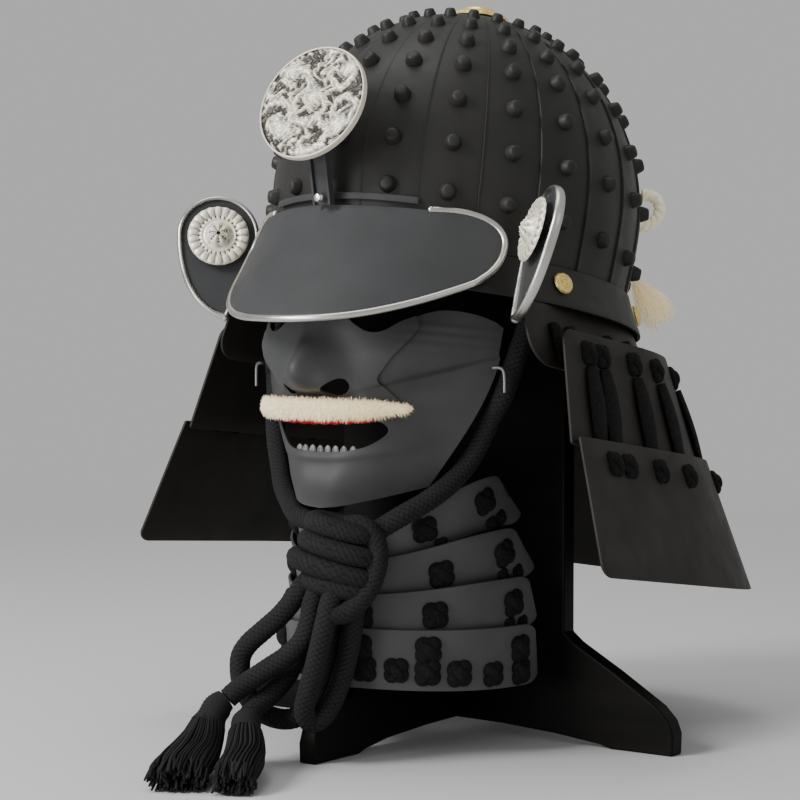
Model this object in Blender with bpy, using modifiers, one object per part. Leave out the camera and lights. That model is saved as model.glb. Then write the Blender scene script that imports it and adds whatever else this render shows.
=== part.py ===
"""A riveted Japanese helmet worn over a face mask, tied with its cord, on a wooden stand.

Metres, +Z up.  The face looks along -Y and +X is the wearer's left.  The origin is on
the surface that the stand's feet rest on, under the middle of the rigid object.
"""

import math

import bmesh
import bpy
from mathutils import Euler, Matrix, Vector

# ---------------------------------------------------------------- driving dimensions

ORIGIN_Y = -0.0046         # moves the model so that the origin is under its middle
GAP = 0.0004                # between pieces that touch

# Helmet frame: tilted back about X, with its own z counted from the brow band's foot.
HELMET_TILT = math.radians(10.0)
HELMET_FOOT = 0.264

# Bowl
BOWL_HALF_WIDTH = 0.110
BOWL_HALF_LENGTH = 0.128
BOWL_CENTRE_Y = -0.0105
BOWL_WAIST = 0.067          # height of the widest ring
BOWL_RISE = 0.1245          # from the widest ring to the crown
BOWL_FOOT = 0.0235
BOWL_FOOT_SCALE = 0.965
BOWL_WALL = 0.0026
PLATE_COUNT = 20
PLATE_STEP = 0.0011         # a plate's raised edge over the next plate
CROWN_HOLE_ANGLE = 83.0     # degrees up the dome where the crown hole starts

# Rivets, bottom row to top row: height, how far the row rises towards the front, size.
RIVET_HEIGHT = 0.0060
RIVET_SINK = 0.0014
RIVET_RADIUS = 0.0054
RIVET_TOP = 0.66            # top radius against foot radius
RIVET_ROWS = (
    # height, front_rise, size
    (0.0465, 0.0115, 1.00),
    (0.0813, 0.0050, 1.00),
    (0.1105, 0.0030, 1.00),
    (0.1362, 0.0010, 1.00),
    (0.1548, 0.0005, 0.96),
    (0.1697, 0.0000, 0.88),
    (0.1808, 0.0000, 0.76),
)

# Brow band
BAND_TOP = 0.0230
BAND_TOP_SCALE = 0.975
BAND_FOOT_SCALE = 1.06
BAND_WALL = 0.0020
STUD_HEIGHT = 0.0120
STUD_ANGLES = (-127.5, -73.5, 73.5, 127.5, 180.0)

# Visor: a bent sheet, y = VISOR_TOP_Y - VISOR_SLOPE * (VISOR_TOP_Z - z) + VISOR_BEND * x * x
VISOR_TOP_Y = -0.1326
VISOR_TOP_Z = 0.3310
VISOR_SLOPE = 0.749
VISOR_BEND = 6.8
VISOR_WALL = 0.0016
VISOR_RIM_RADIUS = 0.0021
VISOR_RIM_START = (0.0590, 0.3280)      # x, z of the silver rim's upper end
VISOR_WING_REACH = 0.0965
VISOR_WING_Z = 0.2995           # level of the wing's widest point
VISOR_WING_SQUARE = 2.3         # 2 is an ellipse, more is squarer
VISOR_WING_STEPS = 7
VISOR_CORNER_RADII = (0.0175, 0.0190)   # across and down, under the widest point
VISOR_CORNER_TURN = math.radians(59.0)
VISOR_CORNER_STEPS = 3
VISOR_FOOT_Z = 0.2643           # the lower edge's middle
VISOR_FOOT_POWER = 2.9          # how late the lower edge rises towards the wings
VISOR_FOOT_STEPS = 6
VISOR_RIM_CORNER = VISOR_WING_STEPS + VISOR_CORNER_STEPS    # where the wing becomes the lower edge

# Crest
PRONG_WIDTH = 0.0130
PRONG_DEPTH = 0.0045
PRONG_FOOT = Vector((0.0, -0.1358, 0.3320))
PRONG_LENGTH = 0.0530
PRONG_LEAN = math.radians(9.5)
DISC_RADIUS = 0.0365
DISC_WALL = 0.0022
DISC_CENTRE = Vector((0.0, -0.1490, 0.3910))
DISC_TILT = math.radians(22.8)
DISC_TURN = math.radians(3.0)

# Turnbacks at the temples
TURNBACK_CENTRE = Vector((0.1238, -0.0898, 0.3162))
TURNBACK_TURN = math.radians(41.5)
TURNBACK_LEAN = math.radians(17.0)
TURNBACK_RADIUS = 0.0245
TURNBACK_TIP = (-0.0040, -0.0545)
TURNBACK_BELLY = ((0.0250, -0.0300), (0.0135, -0.0500))     # handles of the outer edge
TURNBACK_WALL = 0.0016
TURNBACK_RIM_RADIUS = 0.0020
ROSETTE_RADIUS = 0.0195
ROSETTE_DROP = 0.0023        # below the plate's centre
ROSETTE_STAND_OFF = 0.0060

# Neck guard: straight sides from the front edge to NECK_CENTRE_Y, then half a squarish ellipse.
NECK_WALL = 0.0016
NECK_CENTRE_Y = 0.0
NECK_TWIST = 0.16           # the left side hangs lower towards the back
NECK_LAMES = (
    # name, then the top edge and the bottom edge, each with
    # half width, back depth, front y, front z, fall per metre, squareness, corner radius
    ("neck_lame_1", (0.1080, 0.1160, -0.0915, 0.2760, 0.115, 2.00, 0.0040),
                    (0.1215, 0.1330, -0.0960, 0.2390, 0.150, 2.05, 0.0160)),
    ("neck_lame_2", (0.1295, 0.1325, -0.0783, 0.2590, 0.130, 2.10, 0.0080),
                    (0.1455, 0.1580, -0.0935, 0.1925, 0.120, 2.25, 0.0015)),
    ("neck_lame_3", (0.1500, 0.1620, -0.0922, 0.1970, 0.115, 2.25, 0.0015),
                    (0.1770, 0.1930, -0.1090, 0.1190, 0.110, 2.25, 0.0080)),
)

# Mask: a plain face form worked out by height, with a relief on it.
MASK_WALL = 0.0012
MASK_FORM_FOOT = 0.150
MASK_FORM_TOP = 0.275
MASK_JAW_HALF = 0.0445          # half width at the form's foot
MASK_CHEEK_HALF = 0.0880        # half width at the cheeks and above
MASK_CHEEK_SHARE = 0.80         # share of the form's height where it is widest
MASK_JAW_SWELL = 1.25           # how slowly the jaw starts to widen
MASK_JAW_REAR = -0.1085
MASK_CHEEK_REAR = -0.0730
MASK_REAR_POWER = 0.80
MASK_FRONT = -0.1415
MASK_CHIN_OUT = 0.0025
MASK_CHIN_Z = 0.172
MASK_CHIN_TALL = 0.010
MASK_CORNER = 1.6               # how far the flat front reaches
MASK_FOOT = ((0.000, 0.1515), (0.020, 0.1535), (0.040, 0.1580), (0.059, 0.1640))
MASK_TOP = (
    # x, z of the upper edge: bridge, eye cut, cheek
    (0.000, 0.2690), (0.018, 0.2675), (0.026, 0.2610), (0.034, 0.2565), (0.042, 0.2570),
    (0.050, 0.2630), (0.062, 0.2685), (0.074, 0.2670), (0.084, 0.2620), (0.088, 0.2580),
)
NOSE_FOOT = 0.2095
NOSE_SIDES = (
    # z, half width of the nose piece
    (0.2095, 0.0455), (0.2150, 0.0460), (0.2220, 0.0420), (0.2300, 0.0385), (0.2370, 0.0430),
    (0.2450, 0.0530), (0.2530, 0.0570), (0.2600, 0.0545),
)
NOSE_LIFT = 0.0027
MOUTH_HALF = (
    # x, z of half of the mouth opening, from the lower middle to the upper middle
    (0.000, 0.1850), (0.016, 0.1855), (0.030, 0.1890), (0.040, 0.1975), (0.036, 0.2040), (0.018, 0.2055),
)
NOSTRIL = Vector((0.0185, -0.1520, 0.2218))
NOSTRIL_TURN = math.radians(-50.0)
NOSTRIL_SPLAY = math.radians(30.0)
NOSTRIL_WIDE = 0.0086
NOSTRIL_TALL = 0.0060

MOUSTACHE_HALF = 0.0565
MOUSTACHE_Z = 0.2112
MOUSTACHE_TALL = 0.0132
MOUSTACHE_THICK = 0.0060
BACKING_TALL = 0.0110

# Throat guard: half ellipses round the front.
THROAT_WALL = 0.0015
THROAT_LAMES = (
    # name, half width, corner y at the top and at the foot, front y,
    # top and bottom z at the corner, top and bottom z in front
    ("throat_lame_1", 0.0690, -0.0520, -0.0290, -0.1250, 0.1690, 0.1380, 0.1350, 0.1150),
    ("throat_lame_2", 0.0728, -0.0395, -0.0195, -0.1275, 0.1365, 0.1050, 0.1190, 0.0960),
    ("throat_lame_3", 0.0762, -0.0311, -0.0220, -0.1298, 0.1065, 0.0750, 0.0995, 0.0765),
    ("throat_lame_4", 0.0795, -0.0300, -0.0260, -0.1320, 0.0775, 0.0400, 0.0800, 0.0440),
)
THROAT_TUCK = 0.0014        # how far a lame's lower edge draws in
THROAT_CORNER = 0.006

# Cord
ROPE_RADIUS = 0.0060
ROPE_SPACING = 0.015
ROPE_ROUTES = {
    # from inside the brow band, down behind the cheek hook and under the jaw to the knot
    "rope_side_left": (
        (0.0965, -0.0600, 0.2735), (0.0960, -0.0665, 0.2560), (0.0935, -0.0720, 0.2420),
        (0.0905, -0.0745, 0.2300), (0.0870, -0.0770, 0.2180), (0.0784, -0.0762, 0.2060),
        (0.0720, -0.0776, 0.1920), (0.0664, -0.0831, 0.1780), (0.0612, -0.0941, 0.1660),
        (0.0552, -0.1096, 0.1560), (0.0482, -0.1221, 0.1490), (0.0410, -0.1297, 0.1430),
    ),
    "rope_side_right": (
        (-0.0965, -0.0600, 0.2735), (-0.0955, -0.0665, 0.2560), (-0.0925, -0.0720, 0.2420),
        (-0.0890, -0.0750, 0.2300), (-0.0852, -0.0787, 0.2160), (-0.0805, -0.0855, 0.2020),
        (-0.0741, -0.0921, 0.1860), (-0.0655, -0.0992, 0.1720), (-0.0552, -0.1088, 0.1600),
        (-0.0420, -0.1185, 0.1510), (-0.0280, -0.1290, 0.1450), (-0.0140, -0.1340, 0.1425),
        (-0.0035, -0.1375, 0.1400),
    ),
    # bow loops below the knot
    "rope_loop_side": (
        (-0.0010, -0.1545, 0.1080), (-0.0072, -0.1568, 0.0990), (-0.0160, -0.1600, 0.0880),
        (-0.0260, -0.1640, 0.0785), (-0.0350, -0.1670, 0.0700), (-0.0395, -0.1690, 0.0610),
        (-0.0380, -0.1695, 0.0470), (-0.0330, -0.1670, 0.0360), (-0.0250, -0.1620, 0.0280),
        (-0.0150, -0.1570, 0.0255), (-0.0060, -0.1535, 0.0285), (0.0005, -0.1480, 0.0365),
        (0.0045, -0.1445, 0.0500), (0.0080, -0.1430, 0.0680), (0.0110, -0.1430, 0.0850),
        (0.0130, -0.1430, 0.0945),
    ),
    "rope_loop_front": (
        (0.0205, -0.1590, 0.0975), (0.0200, -0.1625, 0.0870), (0.0180, -0.1650, 0.0740),
        (0.0150, -0.1665, 0.0600), (0.0105, -0.1670, 0.0460), (0.0065, -0.1655, 0.0340),
        (0.0070, -0.1605, 0.0268), (0.0115, -0.1550, 0.0292), (0.0160, -0.1495, 0.0400),
        (0.0200, -0.1462, 0.0540), (0.0235, -0.1442, 0.0700), (0.0260, -0.1440, 0.0850),
        (0.0275, -0.1445, 0.0965),
    ),
    # tails to the tassels
    "rope_tail_1": (
        (0.0065, -0.1565, 0.0985), (0.0060, -0.1600, 0.0860), (0.0035, -0.1635, 0.0750),
        (-0.0040, -0.1680, 0.0660), (-0.0130, -0.1730, 0.0590), (-0.0215, -0.1790, 0.0520),
        (-0.0275, -0.1855, 0.0460), (-0.0310, -0.1905, 0.0410),
    ),
    "rope_tail_2": (
        (-0.0020, -0.1420, 0.1000), (-0.0080, -0.1420, 0.0830), (-0.0120, -0.1470, 0.0670),
        (-0.0140, -0.1560, 0.0520), (-0.0170, -0.1670, 0.0420), (-0.0195, -0.1780, 0.0360),
        (-0.0190, -0.1850, 0.0320),
    ),
}
KNOT_CENTRE = Vector((0.0195, -0.1468, 0.1240))
KNOT_SIZE = (0.0235, 0.0165, 0.0265)
TASSELS = {
    # centre of each section, half width and half height
    "tassel_1": (
        ((-0.0320, -0.1918, 0.0400), 0.0070, 0.0070), ((-0.0335, -0.1950, 0.0375), 0.0088, 0.0088),
        ((-0.0345, -0.1990, 0.0335), 0.0088, 0.0088), ((-0.0348, -0.2040, 0.0265), 0.0108, 0.0105),
        ((-0.0322, -0.2130, 0.0180), 0.0132, 0.0125), ((-0.0266, -0.2270, 0.0130), 0.0163, 0.0120),
        ((-0.0190, -0.2420, 0.0118), 0.0178, 0.0110), ((-0.0115, -0.2560, 0.0105), 0.0180, 0.0098),
    ),
    "tassel_2": (
        ((-0.0185, -0.1866, 0.0310), 0.0070, 0.0070), ((-0.0172, -0.1895, 0.0290), 0.0088, 0.0088),
        ((-0.0150, -0.1935, 0.0265), 0.0088, 0.0088), ((-0.0110, -0.1985, 0.0225), 0.0105, 0.0105),
        ((-0.0040, -0.2070, 0.0160), 0.0122, 0.0120), ((0.0050, -0.2190, 0.0128), 0.0130, 0.0118),
        ((0.0137, -0.2330, 0.0118), 0.0134, 0.0110), ((0.0208, -0.2455, 0.0105), 0.0132, 0.0096),
    ),
}

# Cream cord at the back of the bowl
RING_ANGLE = 135.0
RING_HEIGHT = 0.084
RING_RADIUS = 0.0105
RING_LEG = 0.0020
RING_CORD_RADIUS = 0.0040
FRINGE_ANGLE = 141.0
FRINGE_SECTIONS = (
    # height, distance from the bowl, radius
    (0.0400, 0.0078, 0.0030), (0.0365, 0.0125, 0.0055), (0.0315, 0.0180, 0.0072),
    (0.0250, 0.0230, 0.0072), (0.0175, 0.0260, 0.0050),
)

# Stand
BOARD = 0.0120
PLANK_Y = -0.0020
PLANK_HALF = 0.0865
PLANK_HALF_TOP = 0.0850
PLANK_SPRING = 0.335        # where the plank's round top starts
PLANK_TOP = 0.4480
FOOT_PROFILE = (
    # distance from the middle, z: under the arch, the flat foot, its end and its shoulder
    (0.0000, 0.0085), (0.0400, 0.0078), (0.0800, 0.0055), (0.1130, 0.0020), (0.1205, 0.0000),
    (0.1635, 0.0000), (0.1640, 0.0130), (0.1610, 0.0210), (0.1530, 0.0290), (0.1230, 0.0470),
    (0.0940, 0.0630), (0.0865, 0.0690),
)
CROSS_PROFILE = (
    (0.0066, 0.0085), (0.0400, 0.0078), (0.0800, 0.0055), (0.1030, 0.0020), (0.1100, 0.0000),
    (0.1530, 0.0000), (0.1535, 0.0120), (0.1505, 0.0200), (0.1430, 0.0265), (0.1180, 0.0375),
    (0.0900, 0.0520), (0.0600, 0.0640), (0.0066, 0.0720),
)

COLOURS = {
    # colour, roughness, metallic
    "black_iron": ((0.020, 0.020, 0.021), 0.55, 0.35),
    "grey_iron": ((0.028, 0.029, 0.031), 0.50, 0.30),
    "silver": ((0.62, 0.60, 0.56), 0.30, 1.0),
    "old_silver": ((0.50, 0.48, 0.42), 0.45, 0.9),
    "gold": ((0.80, 0.56, 0.16), 0.28, 1.0),
    "black_cord": ((0.012, 0.012, 0.014), 0.85, 0.0),
    "cream_hair": ((0.86, 0.80, 0.64), 0.90, 0.0),
    "red_felt": ((0.45, 0.02, 0.02), 0.90, 0.0),
    "teeth": ((0.70, 0.68, 0.64), 0.40, 0.0),
    "black_wood": ((0.010, 0.009, 0.008), 0.35, 0.0),
}


# ---------------------------------------------------------------- scene and materials

def clear_scene():
    for thing in list(bpy.data.objects):
        bpy.data.objects.remove(thing, do_unlink=True)


def new_collection(name):
    collection = bpy.data.collections.new(name)
    bpy.context.scene.collection.children.link(collection)
    return collection


def material(name):
    found = bpy.data.materials.get(name)
    if found:
        return found
    colour, roughness, metallic = COLOURS[name]
    made = bpy.data.materials.new(name)
    made.use_nodes = True
    shader = made.node_tree.nodes["Principled BSDF"]
    shader.inputs["Base Color"].default_value = (*colour, 1.0)
    shader.inputs["Roughness"].default_value = roughness
    shader.inputs["Metallic"].default_value = metallic
    return made


def add_object(name, data, material_name, parent, parts):
    thing = bpy.data.objects.new(name, data)
    data.materials.append(material(material_name))
    parts.objects.link(thing)
    thing.parent = parent
    return thing


def add_empty(name, parent, parts):
    empty = bpy.data.objects.new(name, None)
    parts.objects.link(empty)
    empty.parent = parent
    return empty


def smooth(thing, angle=30.0):
    thing.data.shade_smooth()
    thing.data.set_sharp_from_angle(angle=math.radians(angle))


def thicken(thing, wall, offset):
    shell = thing.modifiers.new("wall", "SOLIDIFY")
    shell.thickness = wall
    shell.offset = offset


# ---------------------------------------------------------------- curves and shells

def spline_point(before, start, end, after, t):
    """Catmull-Rom between start and end."""
    return 0.5 * (
        2.0 * start
        + (end - before) * t
        + (2.0 * before - 5.0 * start + 4.0 * end - after) * t * t
        + (3.0 * start - before - 3.0 * end + after) * t * t * t
    )


def smooth_route(points, spacing):
    """Points about spacing apart on the smooth curve through the given ones."""
    stops = [Vector(point) for point in points]
    stops = [2.0 * stops[0] - stops[1], *stops, 2.0 * stops[-1] - stops[-2]]
    route = []
    for i in range(1, len(stops) - 2):
        span = (stops[i + 1] - stops[i]).length
        steps = max(1, round(span / spacing))
        route += [spline_point(*stops[i - 1:i + 3], step / steps) for step in range(steps)]
    route.append(stops[-2])
    return route


def table_value(rows, key, column):
    """A column of a table read between its rows, smoothly; the first column is the key."""
    key = min(max(key, rows[0][0]), rows[-1][0])
    i = next(n for n in range(len(rows) - 1) if key <= rows[n + 1][0])
    low, high = rows[i], rows[i + 1]
    before, after = rows[max(i - 1, 0)], rows[min(i + 2, len(rows) - 1)]
    span = high[0] - low[0]
    t = (key - low[0]) / span
    slope_low = (high[column] - before[column]) / (high[0] - before[0])
    slope_high = (after[column] - low[column]) / (after[0] - low[0])
    return (
        (2 * t ** 3 - 3 * t ** 2 + 1) * low[column]
        + (t ** 3 - 2 * t ** 2 + t) * span * slope_low
        + (3 * t ** 2 - 2 * t ** 3) * high[column]
        + (t ** 3 - t ** 2) * span * slope_high
    )


def grid_mesh(name, columns, rows, place, closed=False):
    """An open grid moved into shape by place(u, v), both from 0 to 1."""
    bm = bmesh.new()
    bmesh.ops.create_grid(bm, x_segments=columns, y_segments=rows, size=0.5)
    for vert in bm.verts:
        vert.co = place(vert.co.x + 0.5, vert.co.y + 0.5)
    if closed:
        bmesh.ops.remove_doubles(bm, verts=bm.verts, dist=1e-6)
    mesh = bpy.data.meshes.new(name)
    bm.to_mesh(mesh)
    bm.free()
    return mesh


def shell(name, columns, rows, place, wall, material_name, parent, parts, offset=0.0, closed=False):
    mesh = grid_mesh(name, columns, rows, place, closed)
    thing = add_object(name, mesh, material_name, parent, parts)
    thicken(thing, wall, offset)
    smooth(thing)
    return thing


def tube(name, points, radius, material_name, parent, parts, sides=2, cyclic=False):
    curve = bpy.data.curves.new(name, "CURVE")
    curve.dimensions = "3D"
    curve.bevel_depth = radius
    curve.bevel_resolution = sides
    curve.use_fill_caps = not cyclic
    spline = curve.splines.new("POLY")
    spline.points.add(len(points) - 1)
    for i, point in enumerate(points):
        spline.points[i].co = (*point, 1.0)
    spline.use_cyclic_u = cyclic
    return add_object(name, curve, material_name, parent, parts)


def flat_board(name, outline, thickness, material_name, parent, parts):
    """A filled outline in the object's XY plane, centred on it."""
    curve = bpy.data.curves.new(name, "CURVE")
    curve.dimensions = "2D"
    curve.fill_mode = "BOTH"
    curve.extrude = thickness / 2.0
    spline = curve.splines.new("POLY")
    spline.points.add(len(outline) - 1)
    for i, (x, y) in enumerate(outline):
        spline.points[i].co = (x, y, 0.0, 1.0)
    spline.use_cyclic_u = True
    return add_object(name, curve, material_name, parent, parts)


def turned(name, profile, steps, material_name, parent, parts):
    """A profile of (radius, height) from the top's axis round to the foot's, turned about Z."""
    bm = bmesh.new()
    verts = [bm.verts.new((radius, 0.0, height)) for radius, height in profile]
    for first, second in zip(verts, verts[1:]):
        bm.edges.new((first, second))
    mesh = bpy.data.meshes.new(name)
    bm.to_mesh(mesh)
    bm.free()
    thing = add_object(name, mesh, material_name, parent, parts)
    screw = thing.modifiers.new("turn", "SCREW")
    screw.steps = steps
    screw.render_steps = steps
    screw.use_merge_vertices = True
    screw.merge_threshold = 0.00001
    return thing


def lofted(name, sections, sides, material_name, parent, parts):
    """A closed body through elliptic sections: (centre, half width, half height)."""
    centres = [Vector(centre) for centre, _, _ in sections]
    bm = bmesh.new()
    rings = []
    for i, (_, half_width, half_height) in enumerate(sections):
        along = (centres[min(i + 1, len(centres) - 1)] - centres[max(i - 1, 0)]).normalized()
        across = along.cross(Vector((0.0, 0.0, 1.0))).normalized()
        up = across.cross(along)
        ring = []
        for side in range(sides):
            turn = math.tau * side / sides
            offset = across * (half_width * math.cos(turn)) + up * (half_height * math.sin(turn))
            ring.append(bm.verts.new(centres[i] + offset))
        rings.append(ring)
    for first, second in zip(rings, rings[1:]):
        for side in range(sides):
            after = (side + 1) % sides
            bm.faces.new((first[side], first[after], second[after], second[side]))
    bm.faces.new(rings[0])
    bm.faces.new(list(reversed(rings[-1])))
    bmesh.ops.recalc_face_normals(bm, faces=bm.faces)
    mesh = bpy.data.meshes.new(name)
    bm.to_mesh(mesh)
    bm.free()
    thing = add_object(name, mesh, material_name, parent, parts)
    smooth(thing, 50.0)
    return thing


def boolean(thing, cutter, operation, cutters):
    cutter.hide_render = True
    cutter.display_type = "WIRE"
    for home in list(cutter.users_collection):
        home.objects.unlink(cutter)
    cutters.objects.link(cutter)
    modifier = thing.modifiers.new(operation.lower(), "BOOLEAN")
    modifier.operation = operation
    modifier.object = cutter


# ---------------------------------------------------------------- bowl and brow band

def dome_scale(height):
    """Size of the bowl's horizontal section against its widest one."""
    if height >= BOWL_WAIST:
        return math.sqrt(max(0.0, 1.0 - ((height - BOWL_WAIST) / BOWL_RISE) ** 2))
    drop = (BOWL_WAIST - height) / (BOWL_WAIST - BOWL_FOOT)
    return 1.0 - (1.0 - BOWL_FOOT_SCALE) * drop ** 1.5


def bowl_point(angle, height, out=0.0, scale=None):
    """A point on the bowl; the angle is counted from the front towards the wearer's left."""
    scale = dome_scale(height) if scale is None else scale
    x = (BOWL_HALF_WIDTH * scale + out) * math.sin(angle)
    y = BOWL_CENTRE_Y - (BOWL_HALF_LENGTH * scale + out) * math.cos(angle)
    return Vector((x, y, height))


def bowl_normal(angle, height):
    step = 0.001
    along = bowl_point(angle + step, height) - bowl_point(angle - step, height)
    up = bowl_point(angle, height + step) - bowl_point(angle, height - step)
    return along.cross(up).normalized()


def dome_height(rise):
    """Height on the bowl for rise from 0 at its foot to 1 at the crown hole, about evenly spaced."""
    skirt = 0.30
    if rise < skirt:
        return BOWL_FOOT + (BOWL_WAIST - BOWL_FOOT) * rise / skirt
    angle = math.radians(CROWN_HOLE_ANGLE) * (rise - skirt) / (1.0 - skirt)
    return BOWL_WAIST + BOWL_RISE * math.sin(angle)


def plate_position(u):
    """Angle and raise of the bowl's surface; each plate falls from a raised edge to a low one."""
    column = round(u * PLATE_COUNT * 3)
    plate, part = divmod(column, 3)
    share = (0.0, 0.5, 1.0)[part]
    angle = math.tau * (plate + share - 0.5) / PLATE_COUNT
    return angle, PLATE_STEP * (1.0 - share)


def make_rivets(cutters, helmet):
    bm = bmesh.new()
    for height, front_rise, size in RIVET_ROWS:
        lowest = height == RIVET_ROWS[0][0]
        for plate in range(1 if lowest else 0, PLATE_COUNT):    # none low in front, at the mount
            angle = math.tau * plate / PLATE_COUNT
            level = height + front_rise * math.cos(angle)
            normal = bowl_normal(angle, level)
            length = RIVET_HEIGHT * size + RIVET_SINK
            middle = bowl_point(angle, level) + normal * (length / 2.0 - RIVET_SINK)
            turn = normal.to_track_quat("Z", "Y").to_matrix().to_4x4()
            bmesh.ops.create_cone(
                bm, cap_ends=True, segments=6, radius1=RIVET_RADIUS * size,
                radius2=RIVET_RADIUS * RIVET_TOP * size, depth=length,
                matrix=Matrix.Translation(middle) @ turn,
            )
    mesh = bpy.data.meshes.new("rivets")
    bm.to_mesh(mesh)
    bm.free()
    rivets = bpy.data.objects.new("rivets", mesh)
    cutters.objects.link(rivets)
    rivets.parent = helmet
    return rivets


def make_bowl(helmet, parts, cutters):
    def place(u, v):
        angle, raised = plate_position(u)
        return bowl_point(angle, dome_height(v), raised)

    bowl = shell(
        "bowl", PLATE_COUNT * 3, 8, place, BOWL_WALL, "black_iron", helmet, parts,
        offset=-1.0, closed=True,
    )
    boolean(bowl, make_rivets(cutters, helmet), "UNION", cutters)


def make_brow_band(helmet, parts):
    def place(u, v):
        scale = BAND_FOOT_SCALE + (BAND_TOP_SCALE - BAND_FOOT_SCALE) * v ** 0.8
        return bowl_point(math.tau * u, BAND_TOP * v, scale=scale)

    shell("brow_band", 40, 1, place, BAND_WALL, "black_iron", helmet, parts, closed=True)
    profile = (
        (0.0, 0.0022), (0.0034, 0.0034), (0.0056, 0.0026), (0.0070, 0.0), (0.0, 0.0),
    )
    for number, degrees in enumerate(STUD_ANGLES, 1):
        angle = math.radians(degrees)
        step = 0.001
        scale = BAND_FOOT_SCALE + (BAND_TOP_SCALE - BAND_FOOT_SCALE) * (STUD_HEIGHT / BAND_TOP) ** 0.8
        along = bowl_point(angle + step, STUD_HEIGHT, scale=scale)
        along -= bowl_point(angle - step, STUD_HEIGHT, scale=scale)
        lean = Vector((0.0, 0.0, 1.0)) - bowl_normal(angle, BOWL_WAIST) * 0.38
        normal = along.cross(lean).normalized()
        stud = turned(f"gold_stud_{number}", profile, 10, "gold", helmet, parts)
        stud.location = bowl_point(angle, STUD_HEIGHT, scale=scale) + normal * (BAND_WALL / 2 + 4.0 * GAP)
        stud.rotation_euler = normal.to_track_quat("Z", "Y").to_euler()


def make_crown_fitting(helmet, parts):
    top = BOWL_WAIST + BOWL_RISE
    profile = (
        (0.0065, 0.0068), (0.0086, 0.0076), (0.0106, 0.0066), (0.0114, 0.0040), (0.0155, 0.0034),
        (0.0192, 0.0020), (0.0200, 0.0002), (0.0130, 0.0004), (0.0065, 0.0006), (0.0065, 0.0068),
    )
    fitting = turned("crown_fitting", profile, 18, "gold", helmet, parts)
    fitting.location = (0.0, BOWL_CENTRE_Y, top - 0.0002)


# ---------------------------------------------------------------- visor and crest

def visor_point(x, z):
    return Vector((x, VISOR_TOP_Y - VISOR_SLOPE * (VISOR_TOP_Z - z) + VISOR_BEND * x * x, z))


def visor_rim():
    """The rim's points in x and z, from its left end round the wing to the lower middle."""
    start_x, start_z = VISOR_RIM_START
    power = 2.0 / VISOR_WING_SQUARE
    points = []
    for i in range(VISOR_WING_STEPS + 1):
        turn = math.pi / 2.0 * i / VISOR_WING_STEPS
        across = math.sin(turn) ** power
        down = 1.0 - max(math.cos(turn), 0.0) ** power
        points.append((
            start_x + (VISOR_WING_REACH - start_x) * across, start_z + (VISOR_WING_Z - start_z) * down,
        ))
    wide, tall = VISOR_CORNER_RADII
    for i in range(1, VISOR_CORNER_STEPS + 1):
        turn = VISOR_CORNER_TURN * i / VISOR_CORNER_STEPS
        points.append((
            VISOR_WING_REACH - wide * (1.0 - math.cos(turn)), VISOR_WING_Z - tall * math.sin(turn),
        ))
    corner_x, corner_z = points[-1]
    for i in range(1, VISOR_FOOT_STEPS + 1):
        share = 1.0 - i / VISOR_FOOT_STEPS
        points.append((
            corner_x * share, VISOR_FOOT_Z + (corner_z - VISOR_FOOT_Z) * share ** VISOR_FOOT_POWER,
        ))
    return points


def visor_outline(inset):
    """The rim's points in x and z, drawn in by inset, from the left end to the lower middle."""
    points = [Vector((x, z)) for x, z in visor_rim()]
    moved = []
    for i, point in enumerate(points):
        before = points[max(i - 1, 0)]
        after = points[i + 1] if i + 1 < len(points) else Vector((-points[i - 1].x, points[i - 1].y))
        along = (after - before).normalized()
        moved.append(point + Vector((along.y, -along.x)) * inset)
    return moved


def along_points(points, t):
    """The point at share t of a list of points, by index."""
    place = t * (len(points) - 1)
    i = min(int(place), len(points) - 2)
    return points[i].lerp(points[i + 1], place - i)


def make_visor(root, parts):
    edge = visor_outline(VISOR_RIM_RADIUS + 0.0006)
    side = edge[:VISOR_RIM_CORNER + 1]
    foot = edge[VISOR_RIM_CORNER:]

    def place(u, v):
        """A patch between the top edge, the two wing edges and the lower edge."""
        across = 2.0 * u - 1.0
        sign = 1.0 if across >= 0.0 else -1.0
        share = abs(across)
        top = Vector((side[0].x * share, VISOR_TOP_Z + (side[0].y - VISOR_TOP_Z) * share ** 2))
        low = along_points(foot, 1.0 - share)
        outer = along_points(side, 1.0 - v)
        straight = foot[0].lerp(side[0], v)
        flat = low.lerp(top, v) + (outer - straight) * share
        return visor_point(sign * flat.x, flat.y)

    shell("visor", 20, 7, place, VISOR_WALL, "black_iron", root, parts)

    half = [visor_point(x, z) for x, z in visor_rim()]
    whole = half + [Vector((-point.x, point.y, point.z)) for point in reversed(half[:-1])]
    tube("visor_rim", smooth_route(whole, 0.011), VISOR_RIM_RADIUS, "silver", root, parts, sides=1)


def make_mount_strip(helmet, parts):
    def place(u, v):
        angle = math.radians(28.0) * (2.0 * u - 1.0)
        return bowl_point(angle, 0.0475 - 0.0105 * (1.0 - math.cos(angle)) + 0.0040 * v, 0.0031)

    shell("visor_mount_strip", 12, 1, place, 0.0014, "black_iron", helmet, parts)


def channel_outline(width, depth, wall, lip):
    half = width / 2.0
    return (
        (-half, 0.0), (half, 0.0), (half, depth), (half - lip, depth), (half - lip, wall),
        (lip - half, wall), (lip - half, depth), (-half, depth),
    )


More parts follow.
